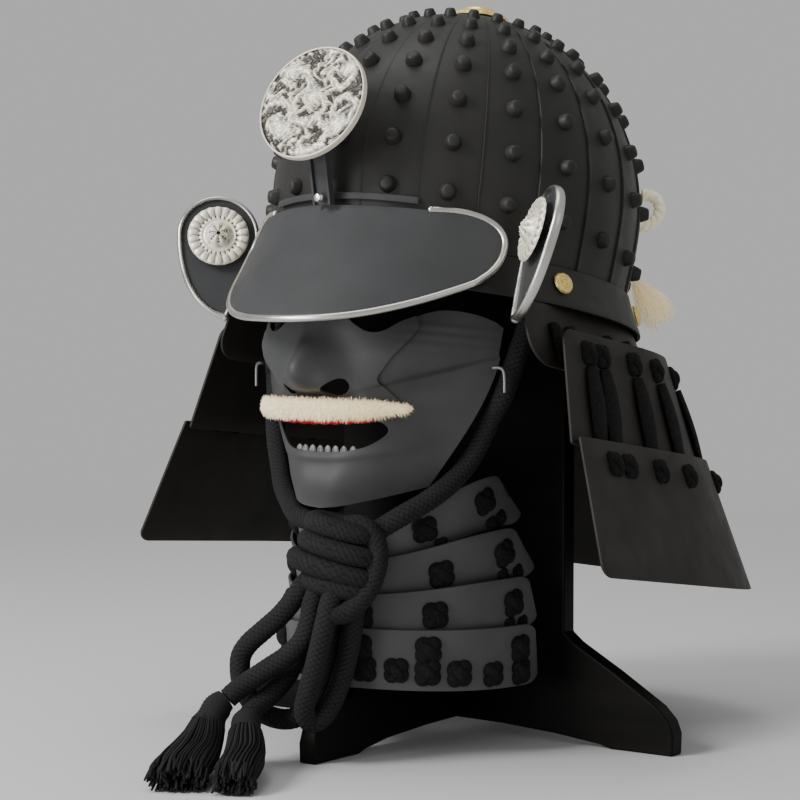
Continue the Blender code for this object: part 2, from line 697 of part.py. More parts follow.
def make_crest(root, parts):
    prong_axis = Vector((0.0, -math.sin(PRONG_LEAN), math.cos(PRONG_LEAN)))
    outline = channel_outline(PRONG_WIDTH, PRONG_DEPTH, 0.0022, 0.0015)
    prong = flat_board("crest_prong", outline, PRONG_LENGTH, "black_iron", root, parts)
    prong.location = PRONG_FOOT + prong_axis * (PRONG_LENGTH / 2.0)
    prong.rotation_euler = Euler((-PRONG_LEAN, 0.0, math.pi))

    pin = turned(
        "crest_pin",
        ((0.0, 0.0030), (0.0022, 0.0024), (0.0032, 0.0008), (0.0032, 0.0), (0.0, 0.0)),
        12, "silver", root, parts,
    )
    pin.location = PRONG_FOOT + Vector((0.0, -PRONG_DEPTH - 0.0022, 0.0035))
    pin.rotation_euler = (math.radians(90.0), 0.0, 0.0)

    disc_profile = (
        (0.0, 0.0), (DISC_RADIUS - 0.0022, 0.0), (DISC_RADIUS - 0.0018, 0.0012),
        (DISC_RADIUS - 0.0004, 0.0012), (DISC_RADIUS, 0.0), (DISC_RADIUS, -DISC_WALL),
        (0.0, -DISC_WALL),
    )
    disc = turned("crest_disc", disc_profile, 36, "old_silver", root, parts)
    disc.location = DISC_CENTRE
    disc.rotation_euler = Euler((math.pi / 2.0 - DISC_TILT, 0.0, DISC_TURN))


# ---------------------------------------------------------------- turnbacks

def bezier(start, first, second, end, t):
    s = 1.0 - t
    return start * s ** 3 + first * (3.0 * s * s * t) + second * (3.0 * s * t * t) + end * t ** 3


def teardrop(radius):
    """A circle drawn out to the lower tip, as points in the plate's own plane."""
    tip = Vector(TURNBACK_TIP)
    scale = (tip.length - (TURNBACK_RADIUS - radius) * 2.2) / tip.length
    tip = tip * scale
    sweep = math.tau + math.atan2(tip.y, tip.x) - math.acos(radius / tip.length)
    steps = 14
    turns = [sweep * i / steps for i in range(steps + 1)]
    points = [Vector((radius * math.cos(turn), radius * math.sin(turn))) for turn in turns]
    last = points[-1]
    outward = last.normalized()
    points += [last.lerp(tip, t) + outward * (0.0010 * math.sin(math.pi * t)) for t in (0.33, 0.66)]
    points.append(tip)
    low, high = [Vector(handle) * scale for handle in reversed(TURNBACK_BELLY)]
    points += [bezier(tip, low, high, points[0], t) for t in (0.17, 0.34, 0.51, 0.68, 0.84)]
    return [tuple(point) for point in points]


def make_turnback(side, name, root, parts):
    """side is 1 for the wearer's left and -1 for the right."""
    frame = add_empty(f"turnback_frame_{name}", root, parts)
    frame.location = (side * TURNBACK_CENTRE.x, TURNBACK_CENTRE.y, TURNBACK_CENTRE.z)
    frame.rotation_euler = Euler((math.pi / 2.0 - TURNBACK_LEAN, 0.0, -side * TURNBACK_TURN))

    plate_radius = TURNBACK_RADIUS - TURNBACK_RIM_RADIUS - 0.0014
    outline = [(side * x, y) for x, y in teardrop(plate_radius)]
    flat_board(f"turnback_{name}", outline[::side], TURNBACK_WALL, "black_iron", frame, parts)

    loop = [(side * x, y) for x, y in teardrop(TURNBACK_RADIUS)]
    tip = loop.index(min(loop, key=lambda point: point[1]))
    around = loop[tip:] + loop[:tip]
    around = [Vector((x, y, 0.0)) for x, y in around]
    closing = around[-1].lerp(around[0], 0.80)
    tube(
        f"turnback_rim_{name}", smooth_route([*around, closing], 0.012),
        TURNBACK_RIM_RADIUS, "silver", frame, parts, sides=1,
    )

    profile = (
        (0.0, 0.0064), (0.0040, 0.0056), (0.0078, 0.0030), (0.0092, 0.0018), (0.0150, 0.0022),
        (ROSETTE_RADIUS, 0.0010), (ROSETTE_RADIUS, 0.0), (0.0, 0.0),
    )
    rosette = turned(f"rosette_{name}", profile, 20, "old_silver", frame, parts)
    rosette.location = (0.0, -ROSETTE_DROP, ROSETTE_STAND_OFF)
    post = ((0.0, 0.0), (0.0030, 0.0), (0.0030, TURNBACK_WALL / 2.0 + GAP - ROSETTE_STAND_OFF + GAP),
            (0.0, TURNBACK_WALL / 2.0 + GAP - ROSETTE_STAND_OFF + GAP))
    spacer = turned(f"rosette_post_{name}", post, 8, "old_silver", frame, parts)
    spacer.location = (0.0, -ROSETTE_DROP, ROSETTE_STAND_OFF - GAP)


# ---------------------------------------------------------------- neck guard

def neck_columns():
    """Shares along a lame from its right front edge to its left one, closer at the corners."""
    side_end = 0.24
    front = (0.0, 0.006, 0.018, 0.035, 0.090, 0.160, side_end)
    back = [side_end + (1.0 - 2.0 * side_end) * i / 20 for i in range(1, 20)]
    return [*front, *back, *(1.0 - share for share in reversed(front))]


def neck_plan(share, half_width, back_depth, front_y, squareness):
    """A point of a lame's edge in plan, and its distance from the nearer front edge."""
    side_end = 0.24
    side_length = NECK_CENTRE_Y - front_y
    nearer = min(share, 1.0 - share)
    sign = -1.0 if share < 0.5 else 1.0
    if nearer < side_end:
        distance = side_length * nearer / side_end
        return sign * half_width, front_y + distance, distance
    turn = math.pi * (share - side_end) / (1.0 - 2.0 * side_end)
    across = math.copysign(abs(math.cos(turn)) ** (2.0 / squareness), -math.cos(turn))
    y = NECK_CENTRE_Y + back_depth * max(0.0, math.sin(turn)) ** (2.0 / squareness)
    return half_width * across, y, side_length + back_depth


def corner_cut(radius, distance):
    """How far a rounded corner draws an edge in, at a distance from the lame's front edge."""
    missing = max(0.0, radius - distance)
    return radius - math.sqrt(radius ** 2 - missing ** 2)


def make_neck_lame(name, top, foot, root, parts):
    columns = neck_columns()

    def edge(share, numbers):
        half_width, back_depth, front_y, front_z, fall, squareness, _ = numbers
        x, y, distance = neck_plan(share, half_width, back_depth, front_y, squareness)
        z = front_z - fall * (y - front_y) - NECK_TWIST * x * (y - front_y)
        return Vector((x, y, z)), distance

    def place(u, v):
        share = columns[round(u * (len(columns) - 1))]
        high, distance = edge(share, top)
        low, _ = edge(share, foot)
        length = (high - low).length
        from_foot = corner_cut(foot[-1], distance) / length
        from_top = corner_cut(top[-1], distance) / length
        return low.lerp(high, from_foot + (1.0 - from_foot - from_top) * v)

    shell(name, len(columns) - 1, 1, place, NECK_WALL, "black_iron", root, parts)


# ---------------------------------------------------------------- mask

def soft_min(first, second, softness):
    mix = min(max(0.5 + 0.5 * (second - first) / softness, 0.0), 1.0)
    return second * (1.0 - mix) + first * mix - softness * mix * (1.0 - mix)


def bump(value, middle, width):
    return math.exp(-((value - middle) / width) ** 2)


def ramp(value):
    value = min(max(value, 0.0), 1.0)
    return value * value * (3.0 - 2.0 * value)


def mask_share(z):
    """How far up the face form a level lies, from 0 to 1."""
    return min(max((z - MASK_FORM_FOOT) / (MASK_FORM_TOP - MASK_FORM_FOOT), 0.0), 1.0)


def mask_half_width(z):
    turn = math.pi / 2.0 * min(mask_share(z) / MASK_CHEEK_SHARE, 1.0)
    return MASK_JAW_HALF + (MASK_CHEEK_HALF - MASK_JAW_HALF) * math.sin(turn) ** MASK_JAW_SWELL


def mask_base(x, z):
    """The plain face form: a flat front that turns back to the rear edge."""
    rear = MASK_JAW_REAR + (MASK_CHEEK_REAR - MASK_JAW_REAR) * mask_share(z) ** MASK_REAR_POWER
    front = MASK_FRONT - MASK_CHIN_OUT * bump(z, MASK_CHIN_Z, MASK_CHIN_TALL)
    share = min(abs(x) / mask_half_width(z), 1.0)
    return rear + (front - rear) * soft_min(1.0, MASK_CORNER * (1.0 - share), 0.35)


def mask_relief(x, z):
    """Nose, cheeks and chin, as a height in front of the plain form."""
    x = abs(x)
    bridge = 0.0060 * bump(x, 0.0, 0.011) * ramp((z - 0.232) / 0.020)
    bulb = 0.0250 * bump(x, 0.0, 0.0140) * bump(z, 0.2330, 0.0150) * ramp((z - 0.2178) / 0.0055)
    wing = 0.0060 * bump(x, 0.0160, 0.0070) * bump(z, 0.2270, 0.0085)
    crease = 0.2240 + 0.34 * (x - 0.040)
    cheek = 0.0105 * bump(x, 0.0590, 0.0230) * bump(z, 0.2440, 0.0170) * ramp((z - crease) / 0.0028)
    hollow = 0.0048 * bump(x, 0.0600, 0.0170) * bump(z, crease - 0.0040, 0.0090)
    chin = 0.0030 * bump(x, 0.0, 0.0240) * bump(z, 0.1640, 0.0090)
    return bridge + bulb + wing + cheek + chin - hollow


def mask_y(x, z):
    return mask_base(x, z) - mask_relief(x, z)


def mask_plate_point(u, v):
    across = 2.0 * u - 1.0
    share = abs(across)
    foot = table_value(MASK_FOOT, share * MASK_FOOT[-1][0], 1)
    top = table_value(MASK_TOP, share * MASK_TOP[-1][0], 1)
    z = foot + (top - foot) * v
    x = across * mask_half_width(z)
    return Vector((x, mask_y(x, z), z))


def cut_block(name, outline, depth, y, root, parts):
    """A prism along Y through the mask, as a mesh that can cut."""
    board = flat_board(name, outline, depth, "grey_iron", root, parts)
    board.location = (0.0, y, 0.0)
    board.rotation_euler = (math.pi / 2.0, 0.0, 0.0)
    return as_mesh(board, parts)


def as_mesh(curve_object, parts):
    bpy.context.view_layer.update()
    graph = bpy.context.evaluated_depsgraph_get()
    mesh = bpy.data.meshes.new_from_object(curve_object.evaluated_get(graph))
    bm = bmesh.new()
    bm.from_mesh(mesh)
    bmesh.ops.remove_doubles(bm, verts=bm.verts, dist=1e-6)
    bmesh.ops.recalc_face_normals(bm, faces=bm.faces)
    bm.to_mesh(mesh)
    bm.free()
    name = curve_object.name
    matrix = curve_object.matrix_world.copy()
    bpy.data.objects.remove(curve_object, do_unlink=True)
    thing = bpy.data.objects.new(name, mesh)
    parts.objects.link(thing)
    thing.matrix_world = matrix
    return thing


def mirrored(half):
    """The whole outline of a half given from one end of the middle line to the other."""
    return [*half, *((-x, z) for x, z in reversed(half) if x > 1e-6)]


def make_mask_plate(root, parts, cutters):
    plate = shell("mask_plate", 26, 14, mask_plate_point, MASK_WALL, "grey_iron", root, parts)
    mouth = mirrored([*MOUTH_HALF, (0.0, 0.2055)])
    boolean(plate, cut_block("mouth_cutter", mouth, 0.080, -0.150, root, parts), "DIFFERENCE", cutters)
    overlap = 0.0035
    window = [(0.0, NOSE_FOOT + 1.4 * overlap)]
    for z, half_width in NOSE_SIDES[1:]:
        window.append((half_width - overlap - 0.010 * ramp((z - 0.248) / 0.010), z))
    window.append((0.030, 0.2800))
    window.append((0.0, 0.2800))
    notch = mirrored(window)
    boolean(plate, cut_block("nose_window_cutter", notch, 0.080, -0.150, root, parts), "DIFFERENCE", cutters)


def make_nose_piece(root, parts, cutters):
    def place(u, v):
        across = 2.0 * u - 1.0
        nominal = NOSE_FOOT + v * (NOSE_SIDES[-1][0] - NOSE_FOOT)
        x = across * table_value(NOSE_SIDES, nominal, 1)
        top = table_value(MASK_TOP, abs(x), 1)
        z = NOSE_FOOT + v * (top - NOSE_FOOT)
        return Vector((x, mask_y(x, z) - NOSE_LIFT, z))

    nose = shell("nose_piece", 18, 11, place, MASK_WALL, "grey_iron", root, parts)
    for side in (-1.0, 1.0):
        bm = bmesh.new()
        bmesh.ops.create_cone(bm, cap_ends=True, segments=16, radius1=1.0, radius2=1.0, depth=1.0)
        mesh = bpy.data.meshes.new("nostril_cutter")
        bm.to_mesh(mesh)
        bm.free()
        cutter = bpy.data.objects.new("nostril_cutter", mesh)
        parts.objects.link(cutter)
        cutter.parent = root
        cutter.location = (side * NOSTRIL.x, NOSTRIL.y, NOSTRIL.z)
        cutter.rotation_euler = Euler((NOSTRIL_TURN, 0.0, side * NOSTRIL_SPLAY))
        cutter.scale = (NOSTRIL_WIDE, NOSTRIL_TALL, 0.0220)
        boolean(nose, cutter, "DIFFERENCE", cutters)


def make_moustache(root, parts):
    def strip(half, z, tall, depth):
        def place(u, v):
            x = half * (2.0 * u - 1.0)
            level = z + tall * (v - 0.5)
            return Vector((x, mask_base(x, 0.2150) - depth, level))
        return place

    centre = NOSE_LIFT + 0.0050 + MOUSTACHE_THICK / 2.0
    shell(
        "moustache", 14, 2, strip(MOUSTACHE_HALF, MOUSTACHE_Z, MOUSTACHE_TALL, centre),
        MOUSTACHE_THICK, "cream_hair", root, parts,
    )
    backing = strip(0.038, MOUSTACHE_Z - 0.0035, BACKING_TALL, NOSE_LIFT + 0.0029)
    shell("moustache_backing", 14, 2, backing, 0.0008, "red_felt", root, parts)


def make_teeth(root, parts):
    tooth_count = 8

    def place(u, v):
        x = 0.023 * (2.0 * u - 1.0)
        notch = abs(math.sin(math.pi * tooth_count * u)) ** 0.5
        z = 0.1795 + v * (0.0070 + 0.0022 * notch)
        return Vector((x, mask_base(x, 0.185) + 0.0042, z))

    shell("lower_teeth", tooth_count * 3, 1, place, 0.0020, "teeth", root, parts)


def make_hook(side, name, root, parts):
    points = ((0.0880, -0.0895, 0.2350), (0.0905, -0.0885, 0.2352), (0.0932, -0.0875, 0.2345),
              (0.0945, -0.0870, 0.2320), (0.0948, -0.0868, 0.2270), (0.0948, -0.0868, 0.2205))
    route = [Vector((side * x, y, z)) for x, y, z in points]
    tube(f"cheek_hook_{name}", smooth_route(route, 0.003), 0.0013, "silver", root, parts)


# ---------------------------------------------------------------- throat guard

def make_throat_lame(numbers, root, parts):
    name, half_width, corner_top, corner_low, front_y, *heights = numbers
    top_corner, low_corner, top_front, low_front = heights
    edge_shares = (0.0, 0.004, 0.015, 0.040)
    inner = [0.04 + 0.92 * i / 14 for i in range(1, 14)]
    columns = [*edge_shares, *inner, *(1.0 - share for share in reversed(edge_shares))]

    def place(u, v):
        share = columns[round(u * (len(columns) - 1))]
        turn = math.pi * (share - 0.5)
        tuck = THROAT_TUCK * (1.0 - v)
        corner_y = corner_low + (corner_top - corner_low) * v
        x = (half_width - tuck) * math.sin(turn)
        y = corner_y + (front_y + tuck - corner_y) * math.cos(turn) ** 0.85
        swing = abs(math.sin(turn)) ** 2.2
        top = top_front + (top_corner - top_front) * swing
        low = low_front + (low_corner - low_front) * swing
        distance = math.pi * half_width * min(share, 1.0 - share)
        missing = max(0.0, THROAT_CORNER - distance)
        cut = THROAT_CORNER - math.sqrt(THROAT_CORNER ** 2 - missing ** 2)
        return Vector((x, y, low + cut + (top - low - 2.0 * cut) * v))

    shell(name, len(columns) - 1, 1, place, THROAT_WALL, "grey_iron", root, parts)


# ---------------------------------------------------------------- cords

def make_rope(root, parts):
    for name, points in ROPE_ROUTES.items():
        tube(name, smooth_route(points, ROPE_SPACING), ROPE_RADIUS, "black_cord", root, parts)
    for name, sections in TASSELS.items():
        lofted(name, sections, 10, "black_cord", root, parts)


def make_knot(root, parts):
    bm = bmesh.new()
    bmesh.ops.create_uvsphere(bm, u_segments=16, v_segments=10, radius=1.0)
    for vert in bm.verts:
        vert.co = Vector((vert.co.x * KNOT_SIZE[0], vert.co.y * KNOT_SIZE[1], vert.co.z * KNOT_SIZE[2]))
    mesh = bpy.data.meshes.new("rope_knot")
    bm.to_mesh(mesh)
    bm.free()
    knot = add_object("rope_knot", mesh, "black_cord", root, parts)
    knot.location = KNOT_CENTRE
    knot.rotation_euler = (0.0, 0.0, math.radians(20.0))
    smooth(knot, 60.0)


def make_back_cord(helmet, parts):
    angle = math.radians(RING_ANGLE)
    surface = bowl_point(angle, RING_HEIGHT)
    out = bowl_normal(angle, RING_HEIGHT)
    up = Vector((0.0, 0.0, 1.0))
    start = 0.0030
    points = [surface + out * start + up * RING_RADIUS]
    for i in range(13):
        turn = math.pi * (0.5 - i / 12)
        reach = start + RING_LEG + RING_RADIUS * math.cos(turn)
        points.append(surface + out * reach + up * (RING_RADIUS * math.sin(turn)))
    points.append(surface + out * start - up * RING_RADIUS)
    tube("back_cord_ring", points, RING_CORD_RADIUS, "cream_hair", helmet, parts)

    fringe_angle = math.radians(FRINGE_ANGLE)
    sections = []
    for height, distance, radius in FRINGE_SECTIONS:
        centre = bowl_point(fringe_angle, height, distance, scale=dome_scale(0.04))
        sections.append((centre, radius * 1.3, radius * 0.8))
    lofted("back_cord_fringe", sections, 8, "cream_hair", helmet, parts)


# ---------------------------------------------------------------- stand

def make_stand(root, parts):
    outline = list(FOOT_PROFILE)
    outline.append((PLANK_HALF, 0.300))
    steps = 14
    for i in range(steps + 1):
        turn = math.pi / 2.0 * i / steps
        x = PLANK_HALF_TOP * math.cos(turn)
        outline.append((x, PLANK_SPRING + (PLANK_TOP - PLANK_SPRING) * math.sin(turn)))
    outline[-1] = (0.0, PLANK_TOP)
    whole = [*outline, *((-x, z) for x, z in reversed(outline[1:-1]))]
    plank = flat_board("stand_plank", whole, BOARD, "black_wood", root, parts)
    plank.location = (0.0, PLANK_Y, 0.0)
    plank.rotation_euler = (math.pi / 2.0, 0.0, 0.0)

    for name, turn in (("stand_foot_front", -math.pi / 2.0), ("stand_foot_back", math.pi / 2.0)):
        foot = flat_board(name, CROSS_PROFILE, BOARD, "black_wood", root, parts)
        foot.location = (0.0, PLANK_Y, 0.0)
        foot.rotation_euler = Euler((math.pi / 2.0, 0.0, turn))


def main():
    clear_scene()
    parts = new_collection("samurai_helmet_on_stand")
    cutters = new_collection("cutters")
    root = add_empty("model", None, parts)
    root.location = (0.0, ORIGIN_Y, 0.0)
    helmet = add_empty("helmet", root, parts)
    helmet.location = (0.0, 0.0, HELMET_FOOT)
    helmet.rotation_euler = (-HELMET_TILT, 0.0, 0.0)

    make_bowl(helmet, parts, cutters)
    make_brow_band(helmet, parts)
    make_crown_fitting(helmet, parts)
    make_visor(root, parts)
    make_mount_strip(helmet, parts)
    make_crest(root, parts)
    for side, name in ((1, "left"), (-1, "right")):
        make_turnback(side, name, root, parts)
        make_hook(side, name, root, parts)
    for name, top, foot in NECK_LAMES:
        make_neck_lame(name, top, foot, root, parts)
    make_mask_plate(root, parts, cutters)
    make_nose_piece(root, parts, cutters)
    make_moustache(root, parts)
    make_teeth(root, parts)
    for numbers in THROAT_LAMES:
        make_throat_lame(numbers, root, parts)
    make_rope(root, parts)
    make_knot(root, parts)
    make_back_cord(helmet, parts)
    make_stand(root, parts)


main()
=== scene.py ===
"""Looks of a riveted Japanese helmet with face mask, tied cord and stand.

Metres, +Z up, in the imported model's own frame.  The face looks along -Y and +X is the
wearer's left.  Shapes are worked out in the model's own coordinates, which the packed
stand places on the floor, and every piece rides on the one body, "root".
"""

import math
import random

import bmesh
import bpy
from mathutils import Euler, Matrix, Vector


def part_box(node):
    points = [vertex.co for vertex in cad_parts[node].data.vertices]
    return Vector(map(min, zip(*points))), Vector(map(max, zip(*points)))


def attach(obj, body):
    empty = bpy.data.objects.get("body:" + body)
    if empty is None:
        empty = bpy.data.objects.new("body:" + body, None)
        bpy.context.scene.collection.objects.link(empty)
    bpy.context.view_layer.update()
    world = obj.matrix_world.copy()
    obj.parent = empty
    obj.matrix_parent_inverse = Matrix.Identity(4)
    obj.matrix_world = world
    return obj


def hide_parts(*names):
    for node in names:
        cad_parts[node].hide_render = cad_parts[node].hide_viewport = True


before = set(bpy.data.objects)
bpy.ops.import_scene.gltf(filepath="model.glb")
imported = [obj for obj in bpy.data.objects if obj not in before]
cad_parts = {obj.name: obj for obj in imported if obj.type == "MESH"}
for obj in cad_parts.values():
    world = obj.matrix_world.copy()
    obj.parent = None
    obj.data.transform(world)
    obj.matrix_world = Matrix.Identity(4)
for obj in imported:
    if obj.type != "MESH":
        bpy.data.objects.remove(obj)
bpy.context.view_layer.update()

# ---------------------------------------------------------------- sizes shared with the CAD

PLANK_Y = -0.0020
ORIGIN_Y = (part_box("stand_plank")[0].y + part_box("stand_plank")[1].y) / 2.0 - PLANK_Y
MODEL = Matrix.Translation((0.0, ORIGIN_Y, 0.0))
HELMET = MODEL @ Matrix.Translation((0.0, 0.0, 0.264)) @ Matrix.Rotation(math.radians(-10.0), 4, "X")

BOWL_HALF_WIDTH = 0.110
BOWL_HALF_LENGTH = 0.128
BOWL_CENTRE_Y = -0.0105
BOWL_WAIST = 0.067
BOWL_RISE = 0.1245
BOWL_FOOT = 0.0235
BOWL_FOOT_SCALE = 0.965
BOWL_WALL = 0.0026
PLATE_COUNT = 20
PLATE_RAISE = 0.0013        # a plate's leading edge over the next plate
CROWN_HOLE_ANGLE = 83.0
RIVET_RADIUS = 0.0054
RIVET_ROWS = (
    # height, front_rise, size
    (0.0465, 0.0115, 1.00),
    (0.0813, 0.0050, 1.00),
    (0.1105, 0.0030, 1.00),
    (0.1362, 0.0010, 1.00),
    (0.1548, 0.0005, 0.96),
    (0.1697, 0.0000, 0.88),
    (0.1808, 0.0000, 0.76),
)
BOWL_TUCK = 0.0025          # the plates' foot reaches this far down inside the band
BAND_TOP = 0.0230
BAND_SKIRT = 0.0018         # the band's lower edge hangs this far over the first lame
BAND_TOP_SCALE = 0.975
BAND_FOOT_SCALE = 1.06
BAND_WALL = 0.0020
STUD_HEIGHT = 0.0120
STUD_ANGLES = {1: -127.5, 2: -73.5, 3: 73.5, 4: 127.5, 5: 180.0}

VISOR_TOP_Y = -0.1326
VISOR_TOP_Z = 0.3310
VISOR_SLOPE = 0.749
VISOR_BEND = 6.8
VISOR_WALL = 0.0016
VISOR_RIM_RADIUS = 0.0021
VISOR_RIM_START = (0.0590, 0.3280)      # x, z of the silver rim's upper end
VISOR_WING_REACH = 0.0965
VISOR_WING_Z = 0.2995           # level of the wing's widest point
VISOR_WING_SQUARE = 2.3         # 2 is an ellipse, more is squarer
VISOR_WING_STEPS = 7
VISOR_CORNER_RADII = (0.0175, 0.0190)   # across and down, under the widest point
VISOR_CORNER_TURN = math.radians(59.0)
VISOR_CORNER_STEPS = 3
VISOR_FOOT_Z = 0.2643           # the lower edge's middle
VISOR_FOOT_POWER = 2.9          # how late the lower edge rises towards the wings
VISOR_FOOT_STEPS = 6
VISOR_RIM_CORNER = VISOR_WING_STEPS + VISOR_CORNER_STEPS    # where the wing becomes the lower edge

DISC_RADIUS = 0.0365
DISC_WALL = 0.0022
DISC_CENTRE = Vector((0.0, -0.1490, 0.3910))
DISC_TILT = math.radians(22.8)
DISC_TURN = math.radians(3.0)

TURNBACK_CENTRE = Vector((0.1238, -0.0898, 0.3162))
TURNBACK_TURN = math.radians(41.5)
TURNBACK_LEAN = math.radians(17.0)
TURNBACK_RADIUS = 0.0245
TURNBACK_TIP = Vector((-0.0040, -0.0545))
TURNBACK_BELLY = (Vector((0.0250, -0.0300)), Vector((0.0135, -0.0500)))
TURNBACK_WALL = 0.0016
TURNBACK_RIM_RADIUS = 0.0020
ROSETTE_DROP = 0.0023
ROSETTE_STAND_OFF = 0.0060

NECK_WALL = 0.0016
NECK_TWIST = 0.16
NECK_SIDE_END = 0.24        # share of a lame's edge where its straight side ends
NECK_LAMES = {
    # the top edge and the bottom edge, each with
    # half width, back depth, front y, front z, fall per metre, squareness, corner radius
    "neck_lame_1": ((0.1080, 0.1160, -0.0915, 0.2760, 0.115, 2.00, 0.0040),
                    (0.1215, 0.1330, -0.0960, 0.2390, 0.150, 2.05, 0.0160)),
    "neck_lame_2": ((0.1295, 0.1325, -0.0783, 0.2590, 0.130, 2.10, 0.0080),
                    (0.1455, 0.1580, -0.0935, 0.1925, 0.120, 2.25, 0.0015)),
    "neck_lame_3": ((0.1500, 0.1620, -0.0922, 0.1970, 0.115, 2.25, 0.0015),
                    (0.1770, 0.1930, -0.1090, 0.1190, 0.110, 2.25, 0.0080)),
}

MASK_WALL = 0.0012
MASK_FORM_FOOT = 0.150
MASK_FORM_TOP = 0.275
MASK_JAW_HALF = 0.0445          # half width at the form's foot
MASK_CHEEK_HALF = 0.0880        # half width at the cheeks and above
MASK_CHEEK_SHARE = 0.80         # share of the form's height where it is widest
MASK_JAW_SWELL = 1.25           # how slowly the jaw starts to widen
MASK_JAW_REAR = -0.1085
MASK_CHEEK_REAR = -0.0730
MASK_REAR_POWER = 0.80
MASK_FRONT = -0.1415
MASK_CHIN_OUT = 0.0025
MASK_CHIN_Z = 0.172
MASK_CHIN_TALL = 0.010
MASK_CORNER = 1.6               # how far the flat front reaches
MASK_FOOT = ((0.000, 0.1515), (0.020, 0.1535), (0.040, 0.1580), (0.059, 0.1640))
MASK_TOP = (
    (0.000, 0.2690), (0.018, 0.2675), (0.026, 0.2610), (0.034, 0.2565), (0.042, 0.2570),
    (0.050, 0.2630), (0.062, 0.2685), (0.074, 0.2670), (0.084, 0.2620), (0.088, 0.2580),
)
NOSE_FOOT = 0.2095
NOSE_SIDES = (
    (0.2095, 0.0455), (0.2150, 0.0460), (0.2220, 0.0420), (0.2300, 0.0385), (0.2370, 0.0430),
    (0.2450, 0.0530), (0.2530, 0.0570), (0.2600, 0.0545),
)
NOSE_LIFT = 0.0027
NOSE_OVERLAP = 0.0035
MOUTH_HALF = (
    (0.000, 0.1850), (0.016, 0.1855), (0.030, 0.1890), (0.040, 0.1975), (0.036, 0.2040), (0.018, 0.2055),
    (0.000, 0.2055),
)
NOSTRIL = Vector((0.0185, -0.1520, 0.2218))
NOSTRIL_TURN = math.radians(-50.0)
NOSTRIL_SPLAY = math.radians(30.0)
NOSTRIL_SIZE = (0.0086, 0.0060, 0.0220)
MOUSTACHE_HALF = 0.0565
MOUSTACHE_Z = 0.2112
FELT_HALF = 0.038
FELT_TALL = 0.0110
MOUSTACHE_TALL = 0.0132
MOUSTACHE_THICK = 0.0060

THROAT_WALL = 0.0015
THROAT_LAMES = {
    # half width, corner y at the top and at the foot, front y, then top and bottom z at the
    # corner and in front
    "throat_lame_1": (0.0690, -0.0520, -0.0290, -0.1250, 0.1690, 0.1380, 0.1350, 0.1150),
    "throat_lame_2": (0.0728, -0.0395, -0.0195, -0.1275, 0.1365, 0.1050, 0.1190, 0.0960),
    "throat_lame_3": (0.0762, -0.0311, -0.0220, -0.1298, 0.1065, 0.0750, 0.0995, 0.0765),
    "throat_lame_4": (0.0795, -0.0300, -0.0260, -0.1320, 0.0775, 0.0400, 0.0800, 0.0440),
}
THROAT_TUCK = 0.0014
THROAT_CORNER = 0.006

ROPE_SIDE_LEFT = (
    (0.0965, -0.0600, 0.2735), (0.0960, -0.0665, 0.2560), (0.0935, -0.0720, 0.2420),
    (0.0905, -0.0745, 0.2300), (0.0870, -0.0770, 0.2180), (0.0784, -0.0762, 0.2060),
    (0.0720, -0.0776, 0.1920), (0.0664, -0.0831, 0.1780), (0.0612, -0.0941, 0.1660),
    (0.0552, -0.1096, 0.1560), (0.0482, -0.1221, 0.1490), (0.0410, -0.1297, 0.1430),
)
ROPE_SIDE_RIGHT = (
    (-0.0965, -0.0600, 0.2735), (-0.0955, -0.0665, 0.2560), (-0.0925, -0.0720, 0.2420),
    (-0.0890, -0.0750, 0.2300), (-0.0852, -0.0787, 0.2160), (-0.0805, -0.0855, 0.2020),
    (-0.0741, -0.0921, 0.1860), (-0.0655, -0.0992, 0.1720), (-0.0552, -0.1088, 0.1600),
    (-0.0420, -0.1185, 0.1510), (-0.0280, -0.1290, 0.1450), (-0.0140, -0.1340, 0.1425),
    (-0.0035, -0.1375, 0.1400),
)
ROPE_LOOP_SIDE = (
    (-0.0010, -0.1545, 0.1080), (-0.0072, -0.1568, 0.0990), (-0.0160, -0.1600, 0.0880),
    (-0.0260, -0.1640, 0.0785), (-0.0350, -0.1670, 0.0700), (-0.0395, -0.1690, 0.0610),
    (-0.0380, -0.1695, 0.0470), (-0.0330, -0.1670, 0.0360), (-0.0250, -0.1620, 0.0280),
    (-0.0150, -0.1570, 0.0255), (-0.0060, -0.1535, 0.0285), (0.0005, -0.1480, 0.0365),
    (0.0045, -0.1445, 0.0500), (0.0080, -0.1430, 0.0680), (0.0110, -0.1430, 0.0850),
    (0.0130, -0.1430, 0.0945),
)
ROPE_LOOP_FRONT = (
    (0.0205, -0.1590, 0.0975), (0.0200, -0.1625, 0.0870), (0.0180, -0.1650, 0.0740),
    (0.0150, -0.1665, 0.0600), (0.0105, -0.1670, 0.0460), (0.0065, -0.1655, 0.0340),
    (0.0070, -0.1605, 0.0268), (0.0115, -0.1550, 0.0292), (0.0160, -0.1495, 0.0400),
    (0.0200, -0.1462, 0.0540), (0.0235, -0.1442, 0.0700), (0.0260, -0.1440, 0.0850),
    (0.0275, -0.1445, 0.0965),
)
ROPE_TAIL_1 = (
    (0.0065, -0.1565, 0.0985), (0.0060, -0.1600, 0.0860), (0.0035, -0.1635, 0.0750),
    (-0.0040, -0.1680, 0.0660), (-0.0130, -0.1730, 0.0590), (-0.0215, -0.1790, 0.0520),
    (-0.0275, -0.1855, 0.0460), (-0.0310, -0.1905, 0.0410),
)
ROPE_TAIL_2 = (
    (-0.0020, -0.1420, 0.1000), (-0.0080, -0.1420, 0.0830), (-0.0120, -0.1470, 0.0670),
    (-0.0140, -0.1560, 0.0520), (-0.0170, -0.1670, 0.0420), (-0.0195, -0.1780, 0.0360),
    (-0.0190, -0.1850, 0.0320),
)
KNOT_CENTRE = Vector((0.0195, -0.1468, 0.1240))
